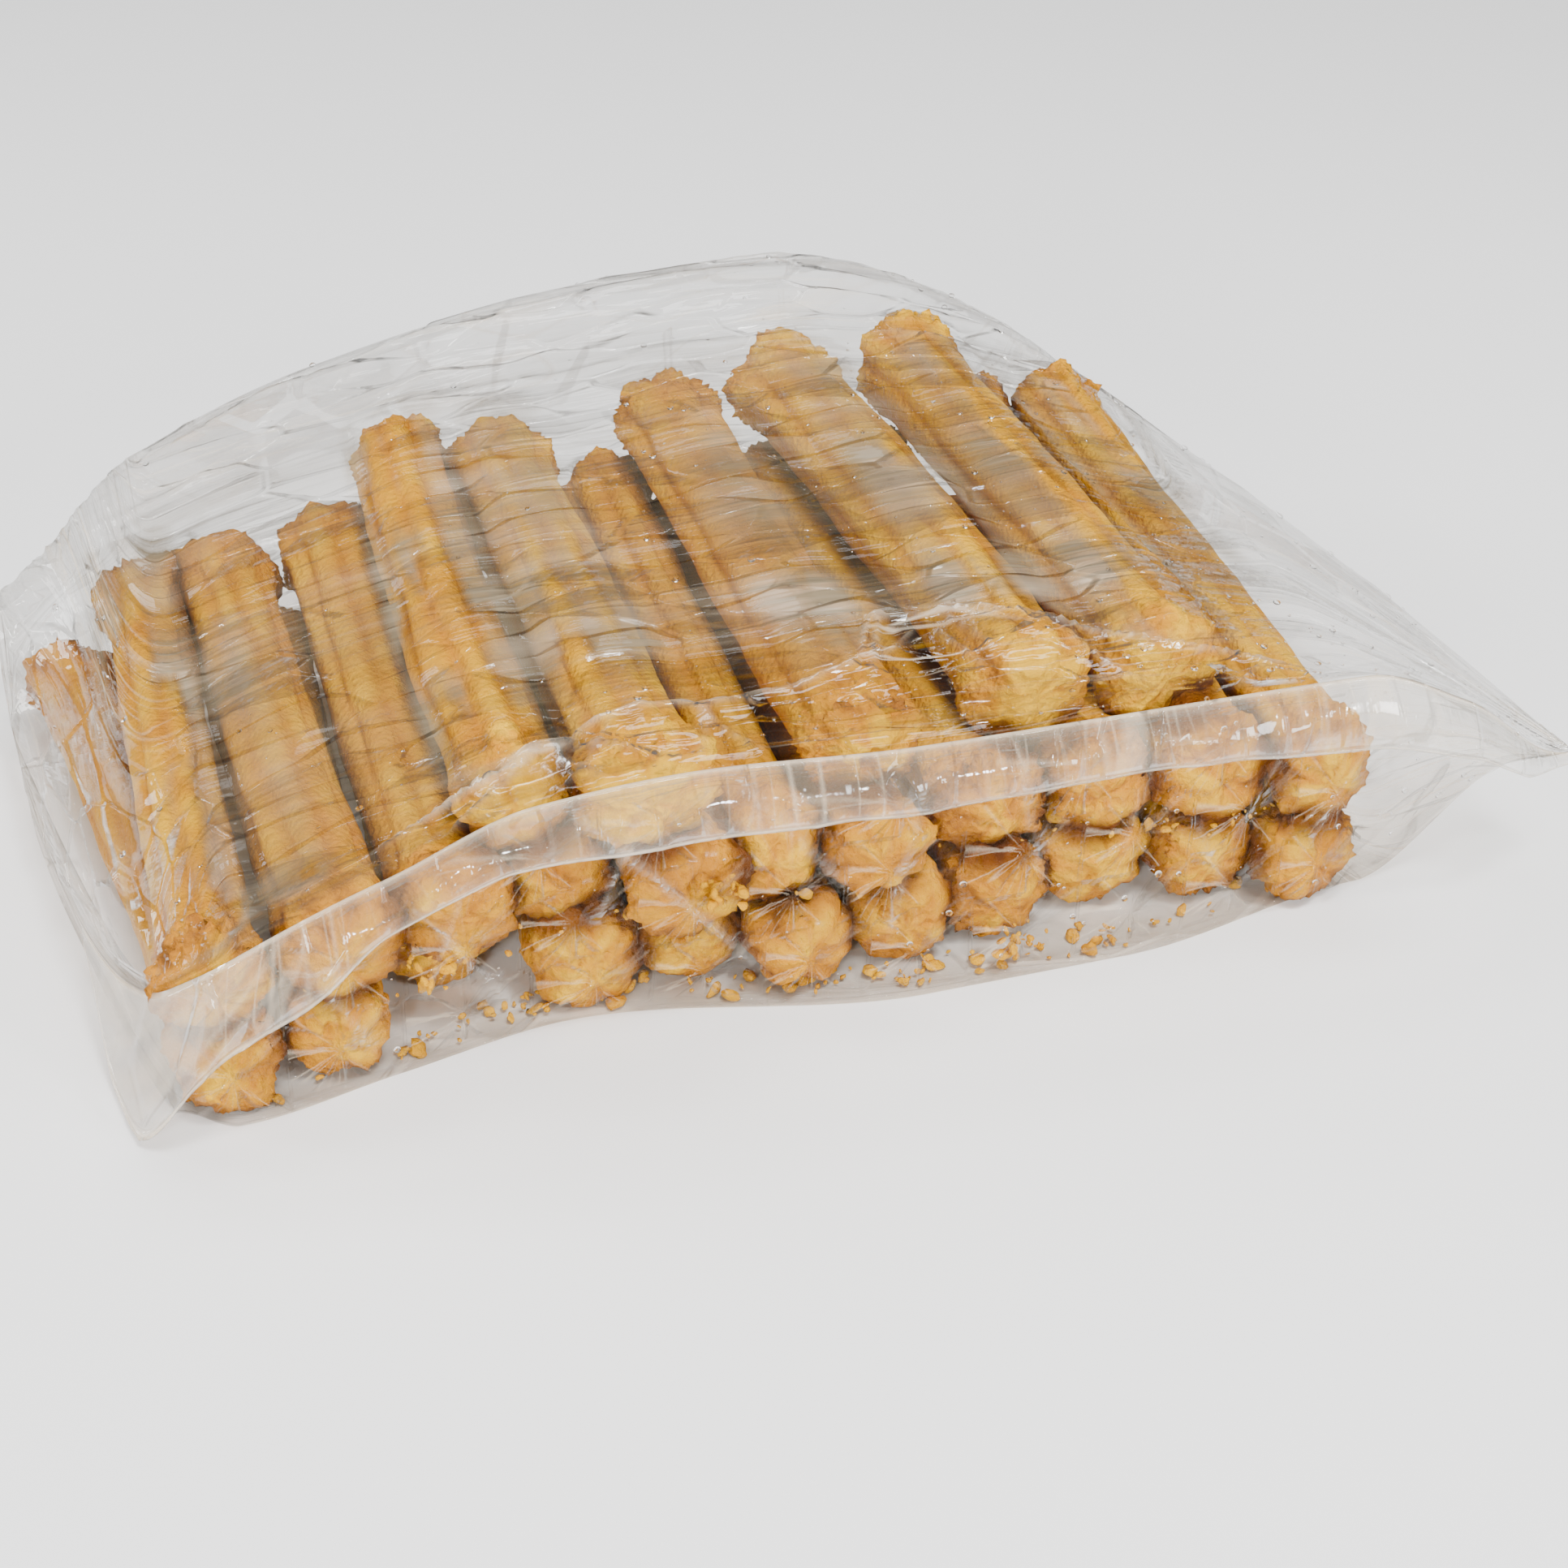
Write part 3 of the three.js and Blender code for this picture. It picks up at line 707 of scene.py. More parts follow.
def drape_top(churros):
    """The top sheet in the heap's frame: x, y and z grids, station by station."""
    grid = None
    for coarseness, rounds in DRAPE_ROUNDS:
        rows, columns = STATIONS // coarseness, TOP_STEPS // coarseness
        xs = station_places(rows)
        v = np.linspace(0, 1, columns + 1) ** TOP_CROWDING
        front, back = along(FRONT_EDGE_Y, xs), along(BACK_EDGE_Y, xs)
        x = np.repeat(xs[:, None], columns + 1, axis=1)
        y = across_rows(front, back, v)
        support = puff_top(x, y)
        for churro in churros:
            top = churro_top(churro, x + HEAP_AT[0], y + HEAP_AT[1])
            support = np.maximum(support, np.where(top > 0, top + FILM_CLEARANCE, 0))
        edge = across_rows(along(FRONT_EDGE_Z, xs), along(BACK_EDGE_Z, xs), v)
        grid = np.maximum(edge, support) if grid is None else resample(grid, rows + 1, columns + 1)
        grid[1:-1, 1:-1] = np.maximum(grid, support)[1:-1, 1:-1]
        grid[:, 0], grid[:, -1] = edge[:, 0], edge[:, -1]
        grid[0, :], grid[-1, :] = LEFT_END[2], EAR_TIP[2]
        step_x = np.gradient(xs)
        step_y = np.maximum(LEAST_STEP, (back - front) / columns)
        grid = relax(grid, support, 1 / step_x ** 2, 1 / step_y ** 2, rounds)
    slack = grid - support
    return x, y, grid - np.minimum(slack, FILM_SAG * np.tanh(slack / 9)) * inside_heap(x, y)


def inside_heap(x, y):
    """1 over the middle of the heap, fading to 0 at its edges."""
    fade = GROOVE_FADE
    sideways = band(x, HEAP_LEFT, HEAP_LEFT + fade, HEAP_RIGHT - fade, HEAP_RIGHT)
    back = along(PUFF_LINE_Y, x) - PUFF_HALF_DEPTH
    return sideways * band(y, HEAP_FRONT, HEAP_FRONT + fade, back - fade, back)


def drape_face(churros):
    """The front face from the floor up to the seal: y and z grids."""
    xs = station_places()
    root = along(FRONT_EDGE_Z, xs)
    low = np.minimum(base_lift(xs), root - LEAST_FACE_HEIGHT)
    share = np.linspace(0, 1, FACE_STEPS + 1)
    z = across_rows(low, root, share)
    x = np.repeat(xs[:, None], FACE_STEPS + 1, axis=1)
    edge = along(FRONT_EDGE_Y, xs)
    foot = np.maximum(along(BASE_FRONT_Y, xs), edge + LEAST_FACE_HEIGHT)
    support = np.full(x.shape, -np.inf)
    for churro in churros:
        support = np.maximum(support, HEAP_AT[1] - churro_face(churro, x + HEAP_AT[0], z))
    forward = -across_rows(foot, edge, share)
    ones = np.ones(len(xs))
    forward = relax(forward, support, ones, ones * FACE_STIFFNESS, FACE_ROUNDS)
    return -forward, z


def film_loops(churros):
    """Closed cross-sections from the back foot under to the front and over the top."""
    x, y, z = drape_top(churros)
    fy, fz = drape_face(churros)
    xs = x[:, 0]
    lift = np.minimum(base_lift(xs), z[:, -1] - LEAST_BACK_HEIGHT)
    back_foot = np.minimum(along(BASE_BACK_Y, xs), y[:, -1] - LEAST_BACK_HEIGHT)
    rear = np.maximum(back_foot, fy[:, 0] + LEAST_FACE_HEIGHT)
    s = np.linspace(0, 1, BACK_STEPS + 1)[1:]
    back_y = across_rows(y[:, -1], rear, s ** BACK_TUCK)
    back_z = across_rows(z[:, -1], lift, s ** BACK_BULGE)
    t = np.linspace(0, 1, UNDER_STEPS + 2)[1:-1]
    under_y = across_rows(rear, fy[:, 0], t)
    under_z = np.repeat(lift[:, None], UNDER_STEPS, axis=1)
    loop_y = np.concatenate([back_y, under_y, fy[:, :-1], y], axis=1)
    loop_z = np.concatenate([back_z, under_z, fz[:, :-1], z], axis=1)
    loop_x = np.repeat(xs[:, None], loop_y.shape[1], axis=1)
    loops = xyz(loop_x, loop_y, loop_z)
    loops[0], loops[-1] = LEFT_END, EAR_TIP
    return loops


# ---- the film's folds -------------------------------------------------------
def crest(field, sharpness):
    """Turns noise into thin raised lines where it passes through zero: 0 to 1."""
    return np.exp(-np.abs(field) * sharpness)


def lines_along(noise, run, cross, spacing):
    """Long thin wrinkles that follow 'run' and lie 'spacing' apart over 'cross'."""
    wander = 0.5 * noise(xyz(run / 60, cross / 40, 7))
    return crest(noise(xyz(run / (spacing * 8), cross / spacing + wander, 0)), 6)


def fold_line(a, b, start, end, width):
    """A straight fold from start to end over coordinates a and b, faded at its ends."""
    span = np.array(end, float) - start
    length = np.hypot(*span)
    t = ((a - start[0]) * span[0] + (b - start[1]) * span[1]) / length ** 2
    off = np.abs((a - start[0]) * span[1] - (b - start[1]) * span[0]) / length
    return np.exp(-off / width) * band(t, -0.08, 0.1, 0.75, 1.08)


def fan(noise, a, b, centre, seed, height, reach, rays):
    """Tension lines that fan out from where the film is pulled over a corner."""
    away = np.hypot(a - centre[0], b - centre[1])
    turn = np.arctan2(b - centre[1], a - centre[0])
    bend = 0.5 * noise(xyz(a / 14, b / 14, seed))
    wave = crest(np.sin(rays * (turn + seed) / 2 + bend), 3.6)
    return height * wave * np.exp(-away / reach) * smoothstep(away, 2, 7)


def regions(loops):
    """Soft masks over the skin, and how far along and across its wrinkles each point lies."""
    x, y, z = np.moveaxis(loops, -1, 0)
    place = np.arange(loops.shape[1])[None, :] * np.ones(loops.shape[:1])[:, None]
    face_from = BACK_STEPS + UNDER_STEPS
    top_from = face_from + FACE_STEPS
    last = loops.shape[1] - 1
    across = np.clip((place - top_from) / TOP_STEPS, 0, 1) ** TOP_CROWDING
    crease = along(CREASE_Y, x)
    return {
        "top": band(place, top_from, top_from + 5, last - 4, last),
        "face": band(place, face_from, face_from + 4, top_from - 4, top_from),
        "back": 1 - smoothstep(place, BACK_STEPS - 4, BACK_STEPS),
        "left": 1 - smoothstep(x, -153, -128),
        "ear": smoothstep(x, 108, 138),
        "behind": smoothstep(y, 62, 98),
        "clear": (1 - smoothstep(y, crease - 1.5, crease + 1.0)) * smoothstep(x, -104, -82),
        "across": across,
        "flow": lerp(y, (across - 0.5) * FLOW_SPAN, FLOW_SHARE) + 0.5 * z,
        "foot": np.exp(-np.abs(place - face_from) / 0.7) * smoothstep(x, -140, -120),
        "tip_away": np.hypot(x - EAR_TIP[0], y - EAR_TIP[1]),
        "tip_turn": np.arctan2(y - EAR_TIP[1], EAR_TIP[0] - x),
        "left_run": y + 0.3 * x,
        "left_cross": 0.9 * x + 0.8 * z + 0.12 * y,
    }


def round_ends(loops, churros):
    """Distance and direction from the nearest front end, for creases that radiate from it."""
    x, z = loops[..., 0], loops[..., 2]
    nearest = np.full(x.shape, np.inf)
    way = np.zeros(loops.shape)
    for churro in churros:
        tip = churro["front"] - HEAP_AT
        right, up = x - tip[0], z - tip[2]
        away = np.hypot(right, up)
        closer = away < nearest
        own = xyz(away, right, up) * (1, END_RAYS, END_RAYS)
        own[..., 1:] /= np.maximum(away, 0.5)[..., None]
        way[closer] = own[closer]
        nearest = np.minimum(nearest, away)
    return way


def crease_place(loops, mask, churros):
    """For each point, how far it lies along its fine creases and how far across them."""
    ways = (
        (mask["left"] * mask["top"], mask["left_run"] - 98, mask["left_cross"] + 94),
        (mask["ear"], EAR_TIP[0] - mask["tip_away"], 50 * mask["tip_turn"] - 60),
    )
    run, cross = loops[..., 0], mask["flow"]
    for share, own_run, own_cross in ways:
        run, cross = lerp(run, own_run, share), lerp(cross, own_cross, share)
    place = xyz(run, cross, 0)
    return lerp(place, round_ends(loops, churros), mask["face"][..., None])


def crease_line(x, y):
    """1 on the line where the top sheet bends to the front, falling off beside it."""
    off = np.abs(y - along(CREASE_Y, x)) * 0.85
    return np.exp(-off / CREASE_WIDTH) * band(x, -100, -76, 95, 106)


def sharp_folds(loops, mask):
    """The single long folds of the top sheet and of the front face, in millimetres."""
    x, y, z = np.moveaxis(loops, -1, 0)
    rise = CREASE_RISE * crease_line(x, y) * mask["top"]
    for start, end, height in TOP_FOLDS:
        rise += height * mask["top"] * fold_line(x, y, start, end, FOLD_WIDTH)
    for start, end, height in FACE_FOLDS:
        rise += height * mask["face"] * fold_line(x, z, start, end, FOLD_WIDTH)
    wobble = 0.02 * Noise(39)(xyz(x / 35, 0, 5))
    for share, left, right, height in PUFF_FOLDS:
        off = np.abs(mask["across"] + wobble - share) * FLOW_SPAN
        ends = band(x, left, left + 25, right - 25, right)
        rise += height * mask["top"] * ends * np.exp(-off / FOLD_WIDTH)
    return rise


def fold_heights(loops, mask, churros, wrinkle):
    """How far each point of the skin is raised by wrinkles and tension lines, in millimetres."""
    x, y, z = np.moveaxis(loops, -1, 0)
    flow = mask["flow"]
    across = lines_along(Noise(31), x, flow, 6.5)
    fine = lines_along(Noise(32), x, flow * 1.1 - 0.2 * x, 3.6)
    broad = Noise(33)(xyz(x / 60, flow / 15, z / 40))
    lengthwise = lines_along(Noise(34), mask["left_run"], mask["left_cross"], 5.0)
    upright = lines_along(Noise(35), z + 0.35 * x, x + 0.25 * z, 11.0)
    rays = lines_along(Noise(36), mask["tip_away"], 40 * mask["tip_turn"], 8.0)
    body = 1 - np.maximum(mask["left"], mask["ear"])
    calm = 1 - 0.8 * mask["clear"]
    slope = mask["left"] * smoothstep(y, -85, -50)
    top = body * calm * (0.5 * across + 0.25 * fine)
    top += mask["behind"] * body * (2.2 * broad + 0.4 * across)
    top += slope * (1.1 * lengthwise + 0.2 * across) + 0.8 * mask["ear"] * rays
    face = 0.7 * body * upright + 0.8 * mask["ear"] * rays
    back = 1.2 * broad + 0.7 * across
    rise = wrinkle * (mask["top"] * top + mask["face"] * face + mask["back"] * back)
    for churro in churros:
        tip = churro["front"] - HEAP_AT
        if churro["layer"] == "top":
            rise += mask["top"] * fan(Noise(37), x, y, tip[:2] + (0, 5), churro["seed"], *TOP_FAN)
        else:
            rise += mask["face"] * fan(Noise(38), x, z, tip[[0, 2]], churro["seed"], *FACE_FAN)
    return rise


def skin_normals(points):
    """Outward unit normals of the closed cross-sections."""
    run = np.gradient(points, axis=0)
    over = np.roll(points, -1, axis=1) - np.roll(points, 1, axis=1)
    normal = np.cross(run, over)
    return normal / np.maximum(np.linalg.norm(normal, axis=-1, keepdims=True), 1e-9)


def churro_tree(names):
    """A search tree over the faces of all the churros, in an order that is the same each run."""
    points, faces = [], []
    for name in names:
        mesh = bpy.data.objects[name].data
        first = len(points)
        points.extend(vert.co for vert in mesh.vertices)
        for face in mesh.polygons:
            corners = [first + corner for corner in face.vertices]
            lowest = corners.index(min(corners))
            faces.append(corners[lowest:] + corners[:lowest])
    return BVHTree.FromPolygons(points, sorted(faces))


def keep_off(points, tree):
    """Moves film that would cross a churro just clear of it; gives the gap at every point."""
    gaps = np.full(points.shape[:-1], FARTHEST_GAP)
    for i, j in np.ndindex(gaps.shape):
        spot = Vector(points[i, j] * MM)
        hit, normal, _, away = tree.find_nearest(spot, FARTHEST_GAP * MM)
        if hit is None:
            continue
        height = (spot - hit).dot(normal)
        inside = height < -0.6 * away and away < DEEPEST_CROSSING * MM
        if inside or away < LEAST_GAP * MM:
            points[i, j] = np.array(hit + normal * LEAST_GAP * MM) / MM
            away = 0.0
        gaps[i, j] = away / MM
    return gaps


def film_haze(loops, gaps, mask):
    """How veiled the film is: clear where it sticks to a churro, hazier where it stands off."""
    x, y, z = np.moveaxis(loops, -1, 0)
    patches = Noise(41)(xyz(x / 9, y / 20, z / 20))
    drawn = Noise(42)(xyz(x / 2.4, y / 34, z / 9))
    lifted = 0.05 + 0.95 * smoothstep(gaps + 1.2 * patches + 1.1 * drawn, *STICKING_GAP)
    lifted = lifted * (1 - 0.7 * smoothstep(gaps, 3.5, 7.0))
    rightward = smoothstep(x, -60, 70)
    leftward = mask["left"] * lerp(0.85, 0.3, smoothstep(y, -75, -20))
    top = (1 - 0.94 * mask["clear"]) * (1 - 0.88 * mask["ear"]) * (1 - leftward)
    top = top * (1 - mask["behind"] * lerp(0.5, 0.78, rightward))
    top = top * (1 - 0.4 * smoothstep(-y, 54, 58) * smoothstep(x, -80, -60))
    skirt = 0.02 * mask["face"] + mask["back"] * lerp(0.3, 0.1, rightward)
    return lifted * (top * mask["top"] + skirt)


def crease_whiteness(loops, mask):
    """How strongly the fine creases are painted white, as painted glints: most on the front, the left slope
    and the loose film.
    """
    slope = mask["left"] * smoothstep(loops[..., 1], -100, -70) * mask["top"]
    shelf = mask["clear"] * mask["top"]
    loose = np.maximum(mask["ear"], mask["behind"] * mask["top"])
    return np.clip(0.38 * mask["face"] + 0.8 * shelf + slope + 0.7 * loose + 0.3 * mask["back"] + 0.1, 0, 1)


def film_gloss(mask, sharp):
    """How much of its gloss the film shows: most where it is loose or folded, least on the front."""
    loose = np.maximum(np.maximum(mask["ear"], mask["behind"]), 0.9 * mask["left"])
    top = 0.55 + 1.1 * mask["clear"] + 0.7 * loose
    folded = 1.2 * np.clip(sharp / CREASE_RISE, 0, 1)
    return np.clip(top * mask["top"] + 0.22 * mask["face"] + 0.8 * mask["back"] + folded, 0.2, 1.9)


def film_slack(mask):
    """How strongly the finest creases show: most on the taut top, least on loose film."""
    top = 1 - 0.25 * mask["clear"] - 0.3 * mask["left"]
    top = top * (1 - 0.65 * mask["behind"]) * (1 - 0.75 * mask["ear"])
    return np.clip(top * mask["top"] + 0.6 * mask["face"] + 0.25 * mask["back"], 0.2, 1)


def build_film(settings, material):
    """The pouch as one closed skin, pointed at its left end and at the ear."""
    churros = lay_churros()
    loops = film_loops(churros)
    mask = regions(loops)
    sharp = sharp_folds(loops, mask)
    rise = sharp + fold_heights(loops, mask, churros, settings.wrinkle)
    rise = rise * smoothstep(loops[..., 2], 0.8, 6)
    rise[0], rise[-1] = 0, 0
    points = loops + skin_normals(loops) * rise[..., None] + HEAP_AT
    gaps = keep_off(points, churro_tree([f"churros_{layer['name']}" for layer in LAYERS]))
    points[..., 2] = np.maximum(points[..., 2], FILM_THICKNESS)
    bm, ring, seg = ball(points.shape[1], STATIONS)
    move_verts(bm, points[ring, seg] * MM)
    face_outwards(bm)
    piece = finish_piece(bm, "film_pouch", material)
    # Painted highlight along sharp folds, the bend to the front and the foot of the front.
    line = FOLD_WHITENESS * np.maximum(np.clip(sharp / CREASE_RISE, 0, 1) ** 2, mask["foot"])
    add_values(
        piece,
        haze=film_haze(loops, gaps, mask)[ring, seg],
        milk=line[ring, seg],
        slack=film_slack(mask)[ring, seg],
        glint=crease_whiteness(loops, mask)[ring, seg],
        gloss=film_gloss(mask, sharp)[ring, seg],
        creases=(crease_place(loops, mask, churros) * MM)[ring, seg],
    )
    return points


def seal_surface(x, v):
    """How far down and how far forward the fin seal hangs, and the share of the flap."""
    drop = along(FIN_DROP, x)
    uneven = 0.6 * Noise(51)(xyz(x / 15, 0, 3))
    hang = v * (drop + uneven * smoothstep(drop, 6, 11))
    flap = 1 - smoothstep(x, -130, -112)
    ripple = Noise(52)(xyz(x / 16, v * 0.6, 9))
    crimp = crest(Noise(53)(xyz(x / 26 + v * 0.4, v * 0.6, 20)), 9)
    long_fold = crest(Noise(54)(xyz((x + hang * 0.9) / 8, hang / 90, 0)), 7)
    out = FIN_OUT * np.minimum(1, drop / 8) * np.sin(v * 1.9) + 0.4
    out = out + v * (0.7 * ripple + 0.45 * crimp) + flap * v * (0.9 * long_fold - 3.0)
    return drop, hang, out, flap, long_fold


def build_seal(material):
    """The fin seal: a doubled strip that hangs from the front edge, with a flap at the left."""
    bm = bmesh.new()
    bmesh.ops.create_grid(bm, x_segments=SEAL_COLUMNS, y_segments=SEAL_ROWS, size=0.5)
    co = places(bm)
    u, v = co[:, 0] + 0.5, 0.5 - co[:, 1]
    x = lerp(*SEAL_SPAN, u)
    drop, hang, out, flap, long_fold = seal_surface(x, v)
    y = along(FRONT_EDGE_Y, x) - out
    z = along(FRONT_EDGE_Z, x) - hang
    points = xyz(x - FLAP_SLANT * hang * flap, y, np.maximum(z, 0.5))
    move_verts(bm, (points + HEAP_AT) * MM)
    bmesh.ops.solidify(bm, geom=bm.faces[:], thickness=FILM_THICKNESS * MM)
    face_outwards(bm)
    piece = finish_piece(bm, "fin_seal", material)
    seam = np.exp(-v * drop / SEAM_WIDTH) + np.exp(-(1 - v) * drop / SEAM_WIDTH)
    ends = np.maximum(smoothstep(x, 120, 150), 1 - smoothstep(x, -110, -60))
    # The seal is milky with pressed seams; the flap's long folds are painted whiter as painted highlight.
    milk = SEAL_MILK * (1 - 0.5 * ends) * (1 - 0.6 * flap) + 0.4 * seam + 0.16 * flap * long_fold
    same = np.ones(2 * len(x))
    add_values(
        piece, haze=0 * same, slack=SEAL_SLACK * same, glint=SEAL_GLINT * same, gloss=SEAL_GLOSS * same,
        milk=np.tile(np.clip(milk, 0, 1), 2),
        creases=np.tile(xyz(hang + 0.3 * x, x, 0) * MM, (2, 1)),
    )
    return piece


# ---- droplets and crumbs ----------------------------------------------------
def build_droplets(settings, material, points):
    """Flattened water beads that sit on the film."""
    rng = np.random.default_rng(DROPLET_SEED)
    normals = skin_normals(points)
    stations, around = points.shape[:2]
    bm, unit = bead()
    beads = []
    while len(beads) < settings.droplets:
        i = int(rng.integers(8, stations - 8))
        j = int(rng.integers(BACK_STEPS + UNDER_STEPS + 6, around - 8))
        normal = Vector(normals[i, j])
        if rng.random() > 0.2 + 0.8 * smoothstep(points[i, j, 0], -90, 90):
            continue
        radius = DROPLET_RADIUS + DROPLET_SPREAD * rng.random() ** 4
        turn = np.array(Vector((0, 0, 1)).rotation_difference(normal).to_matrix())
        flat = unit * (radius, radius * rng.uniform(0.8, 1.1), radius * DROPLET_HEIGHT)
        spot = points[i, j] + 0.15 * radius * np.array(normal)
        beads.append((flat @ turn.T + spot) * MM)
    return finish_piece(repeated(bm, beads), "water_droplets", material)


def crumb_places(rng, count):
    """Where crumbs gather: along the foot of the front, in two heaps, and on the lower ends."""
    for _ in range(count):
        kind = rng.random()
        x = rng.uniform(-130, 112)
        if kind < 0.5:
            yield np.array((x, along(BASE_FRONT_Y, x) + rng.uniform(2.5, 12), rng.uniform(0.8, 2.0)))
        elif kind < 0.75:
            heap = CRUMB_HEAPS[int(rng.integers(len(CRUMB_HEAPS)))]
            yield np.array(heap) + rng.normal(size=3) * (3.2, 1.5, 2.2)
        else:
            yield np.array((x, rng.uniform(-96, -84), rng.uniform(22, 26)))


def build_crumbs(settings, material):
    """Crumbs and flakes that broke off the churros."""
    rng = np.random.default_rng(CRUMB_SEED)
    noise = Noise(CRUMB_NOISE)
    bm, unit = bead()
    crumbs = []
    for place in crumb_places(rng, settings.crumbs):
        radius = CRUMB_RADIUS + CRUMB_SPREAD * rng.random() ** 3
        turn = Matrix.Rotation(rng.uniform(0, 6.28), 3, Vector(rng.normal(size=3)).normalized())
        flat = unit * (radius, radius * rng.uniform(0.5, 1), radius * rng.uniform(0.3, 0.7))
        co = flat @ np.array(turn).T
        rough = 1 + CRUMB_ROUGHNESS * noise(co / radius * 1.4 + place)
        spots = co * rough[:, None] + place + HEAP_AT
        spots[:, 2] = np.maximum(spots[:, 2], 2 * FILM_THICKNESS)
        crumbs.append(spots * MM)
    return finish_piece(repeated(bm, crumbs), "crumbs", material)


# ---- materials --------------------------------------------------------------
def feed(tree, socket, value):
    """Links another node's output to a socket, or sets the socket to a plain value."""
    if isinstance(value, bpy.types.NodeSocket):
        tree.links.new(value, socket)
    else:
        socket.default_value = value


def add_node(tree, kind, **inputs):
    """A node whose inputs are fed by name, with _ for each space in a name."""
    made = tree.nodes.new(kind)
    for name, value in inputs.items():
        feed(tree, made.inputs[name.replace("_", " ")], value)
    return made


def add_shader(tree, kind, **inputs):
    """A shader node like that; returns its shader."""
    return add_node(tree, kind, **inputs).outputs["BSDF"]


def use_group(tree, group, **inputs):
    """A shader group's node with its inputs fed by name; returns its outputs."""
    made = tree.nodes.new("ShaderNodeGroup")
    made.node_tree = group
    for name, value in inputs.items():
        feed(tree, made.inputs[name], value)
    return made.outputs


def shader_group(name, inputs, outputs):
    """An empty shader group; returns also the sockets given to it and those it returns."""
    group = bpy.data.node_groups.new(name, "ShaderNodeTree")
    for socket, (kind, default) in inputs.items():
        made = group.interface.new_socket(socket, in_out="INPUT", socket_type=f"NodeSocket{kind}")
        made.default_value = default
    for socket, kind in outputs.items():
        group.interface.new_socket(socket, in_out="OUTPUT", socket_type=f"NodeSocket{kind}")
    return group, group.nodes.new("NodeGroupInput").outputs, group.nodes.new("NodeGroupOutput").inputs


def maths(tree, operation, *values, clamp=False):
    """A Math node fed by sockets or numbers; returns its output."""
    made = tree.nodes.new("ShaderNodeMath")
    made.operation = operation
    made.use_clamp = clamp
    for socket, value in zip(made.inputs, values):
        feed(tree, socket, value)
    return made.outputs[0]


def weighted(tree, total, *parts):
    """A total plus each part's value times its weight."""
    for value, weight in parts:
        total = maths(tree, "MULTIPLY_ADD", value, weight, total)
    return total


def vector_maths(tree, operation, first, second, result="Vector"):
    """A Vector Math node fed by sockets or places; returns its result."""
    made = tree.nodes.new("ShaderNodeVectorMath")
    made.operation = operation
    feed(tree, made.inputs[0], first)
    feed(tree, made.inputs[1], second)
    return made.outputs[result]


def opaque(colour):
    return (*colour, 1.0)


def mix_colours(tree, share, first, second, way="MIX"):
    """Blends two colours by a share of the second; returns the colour."""
    made = add_node(tree, "ShaderNodeMixRGB", Fac=share, Color1=first, Color2=second)
    made.blend_type = way
    return made.outputs["Color"]


def mix_shaders(tree, share, first, second):
    """Blends two shaders by a share of the second; returns the shader."""
    made = tree.nodes.new("ShaderNodeMixShader")
    for socket, value in zip(made.inputs, (share, first, second)):
        feed(tree, socket, value)
    return made.outputs["Shader"]


def ramp(tree, factor, stops):
    """A colour ramp over (place, colour) stops; returns its colour."""
    made = add_node(tree, "ShaderNodeValToRGB", Fac=factor)
    colours = made.color_ramp.elements
    for _ in stops[2:]:
        colours.new(0.5)
    for element, (place, colour) in zip(colours, stops):
        element.position = place
        element.color = opaque(colour)
    return made.outputs["Color"]


def mapped(tree, vector, stretch, turn=(0, 0, 0)):
    """A stretched and turned copy of a coordinate."""
    made = add_node(tree, "ShaderNodeMapping", Vector=vector, Scale=stretch, Rotation=turn)
    return made.outputs["Vector"]


def placed_noise(tree, vector, scale, detail, stretch=(1, 1, 1), roughness=0.55, turn=0):
    """Noise over a coordinate that is stretched and turned about Z; returns its value."""
    place = mapped(tree, vector, stretch, (0, 0, turn))
    made = add_node(
        tree, "ShaderNodeTexNoise", Vector=place, Scale=scale, Detail=detail, Roughness=roughness)
    return made.outputs["Fac"]


def stored(tree, name, kind="Fac"):
    """What each vertex of the piece stores under a name: a number, or a place."""
    reader = tree.nodes.new("ShaderNodeAttribute")
    reader.attribute_name = name
    return reader.outputs[kind]


def own_place(tree):
    """The place in the piece's own coordinates."""
    return tree.nodes.new("ShaderNodeTexCoord").outputs["Object"]


def bumped(tree, height, strength, distance):
    """The surface's normal, tilted by a height."""
    made = add_node(tree, "ShaderNodeBump", Height=height, Strength=strength, Distance=distance)
    return made.outputs["Normal"]


def plain_material(name):
    """A new node material with only its output; returns the surface socket too."""
    material = bpy.data.materials.new(name)
    material.use_nodes = True
    tree = material.node_tree
    tree.nodes.clear()
    output = tree.nodes.new("ShaderNodeOutputMaterial")
    return material, tree, output.inputs["Surface"]


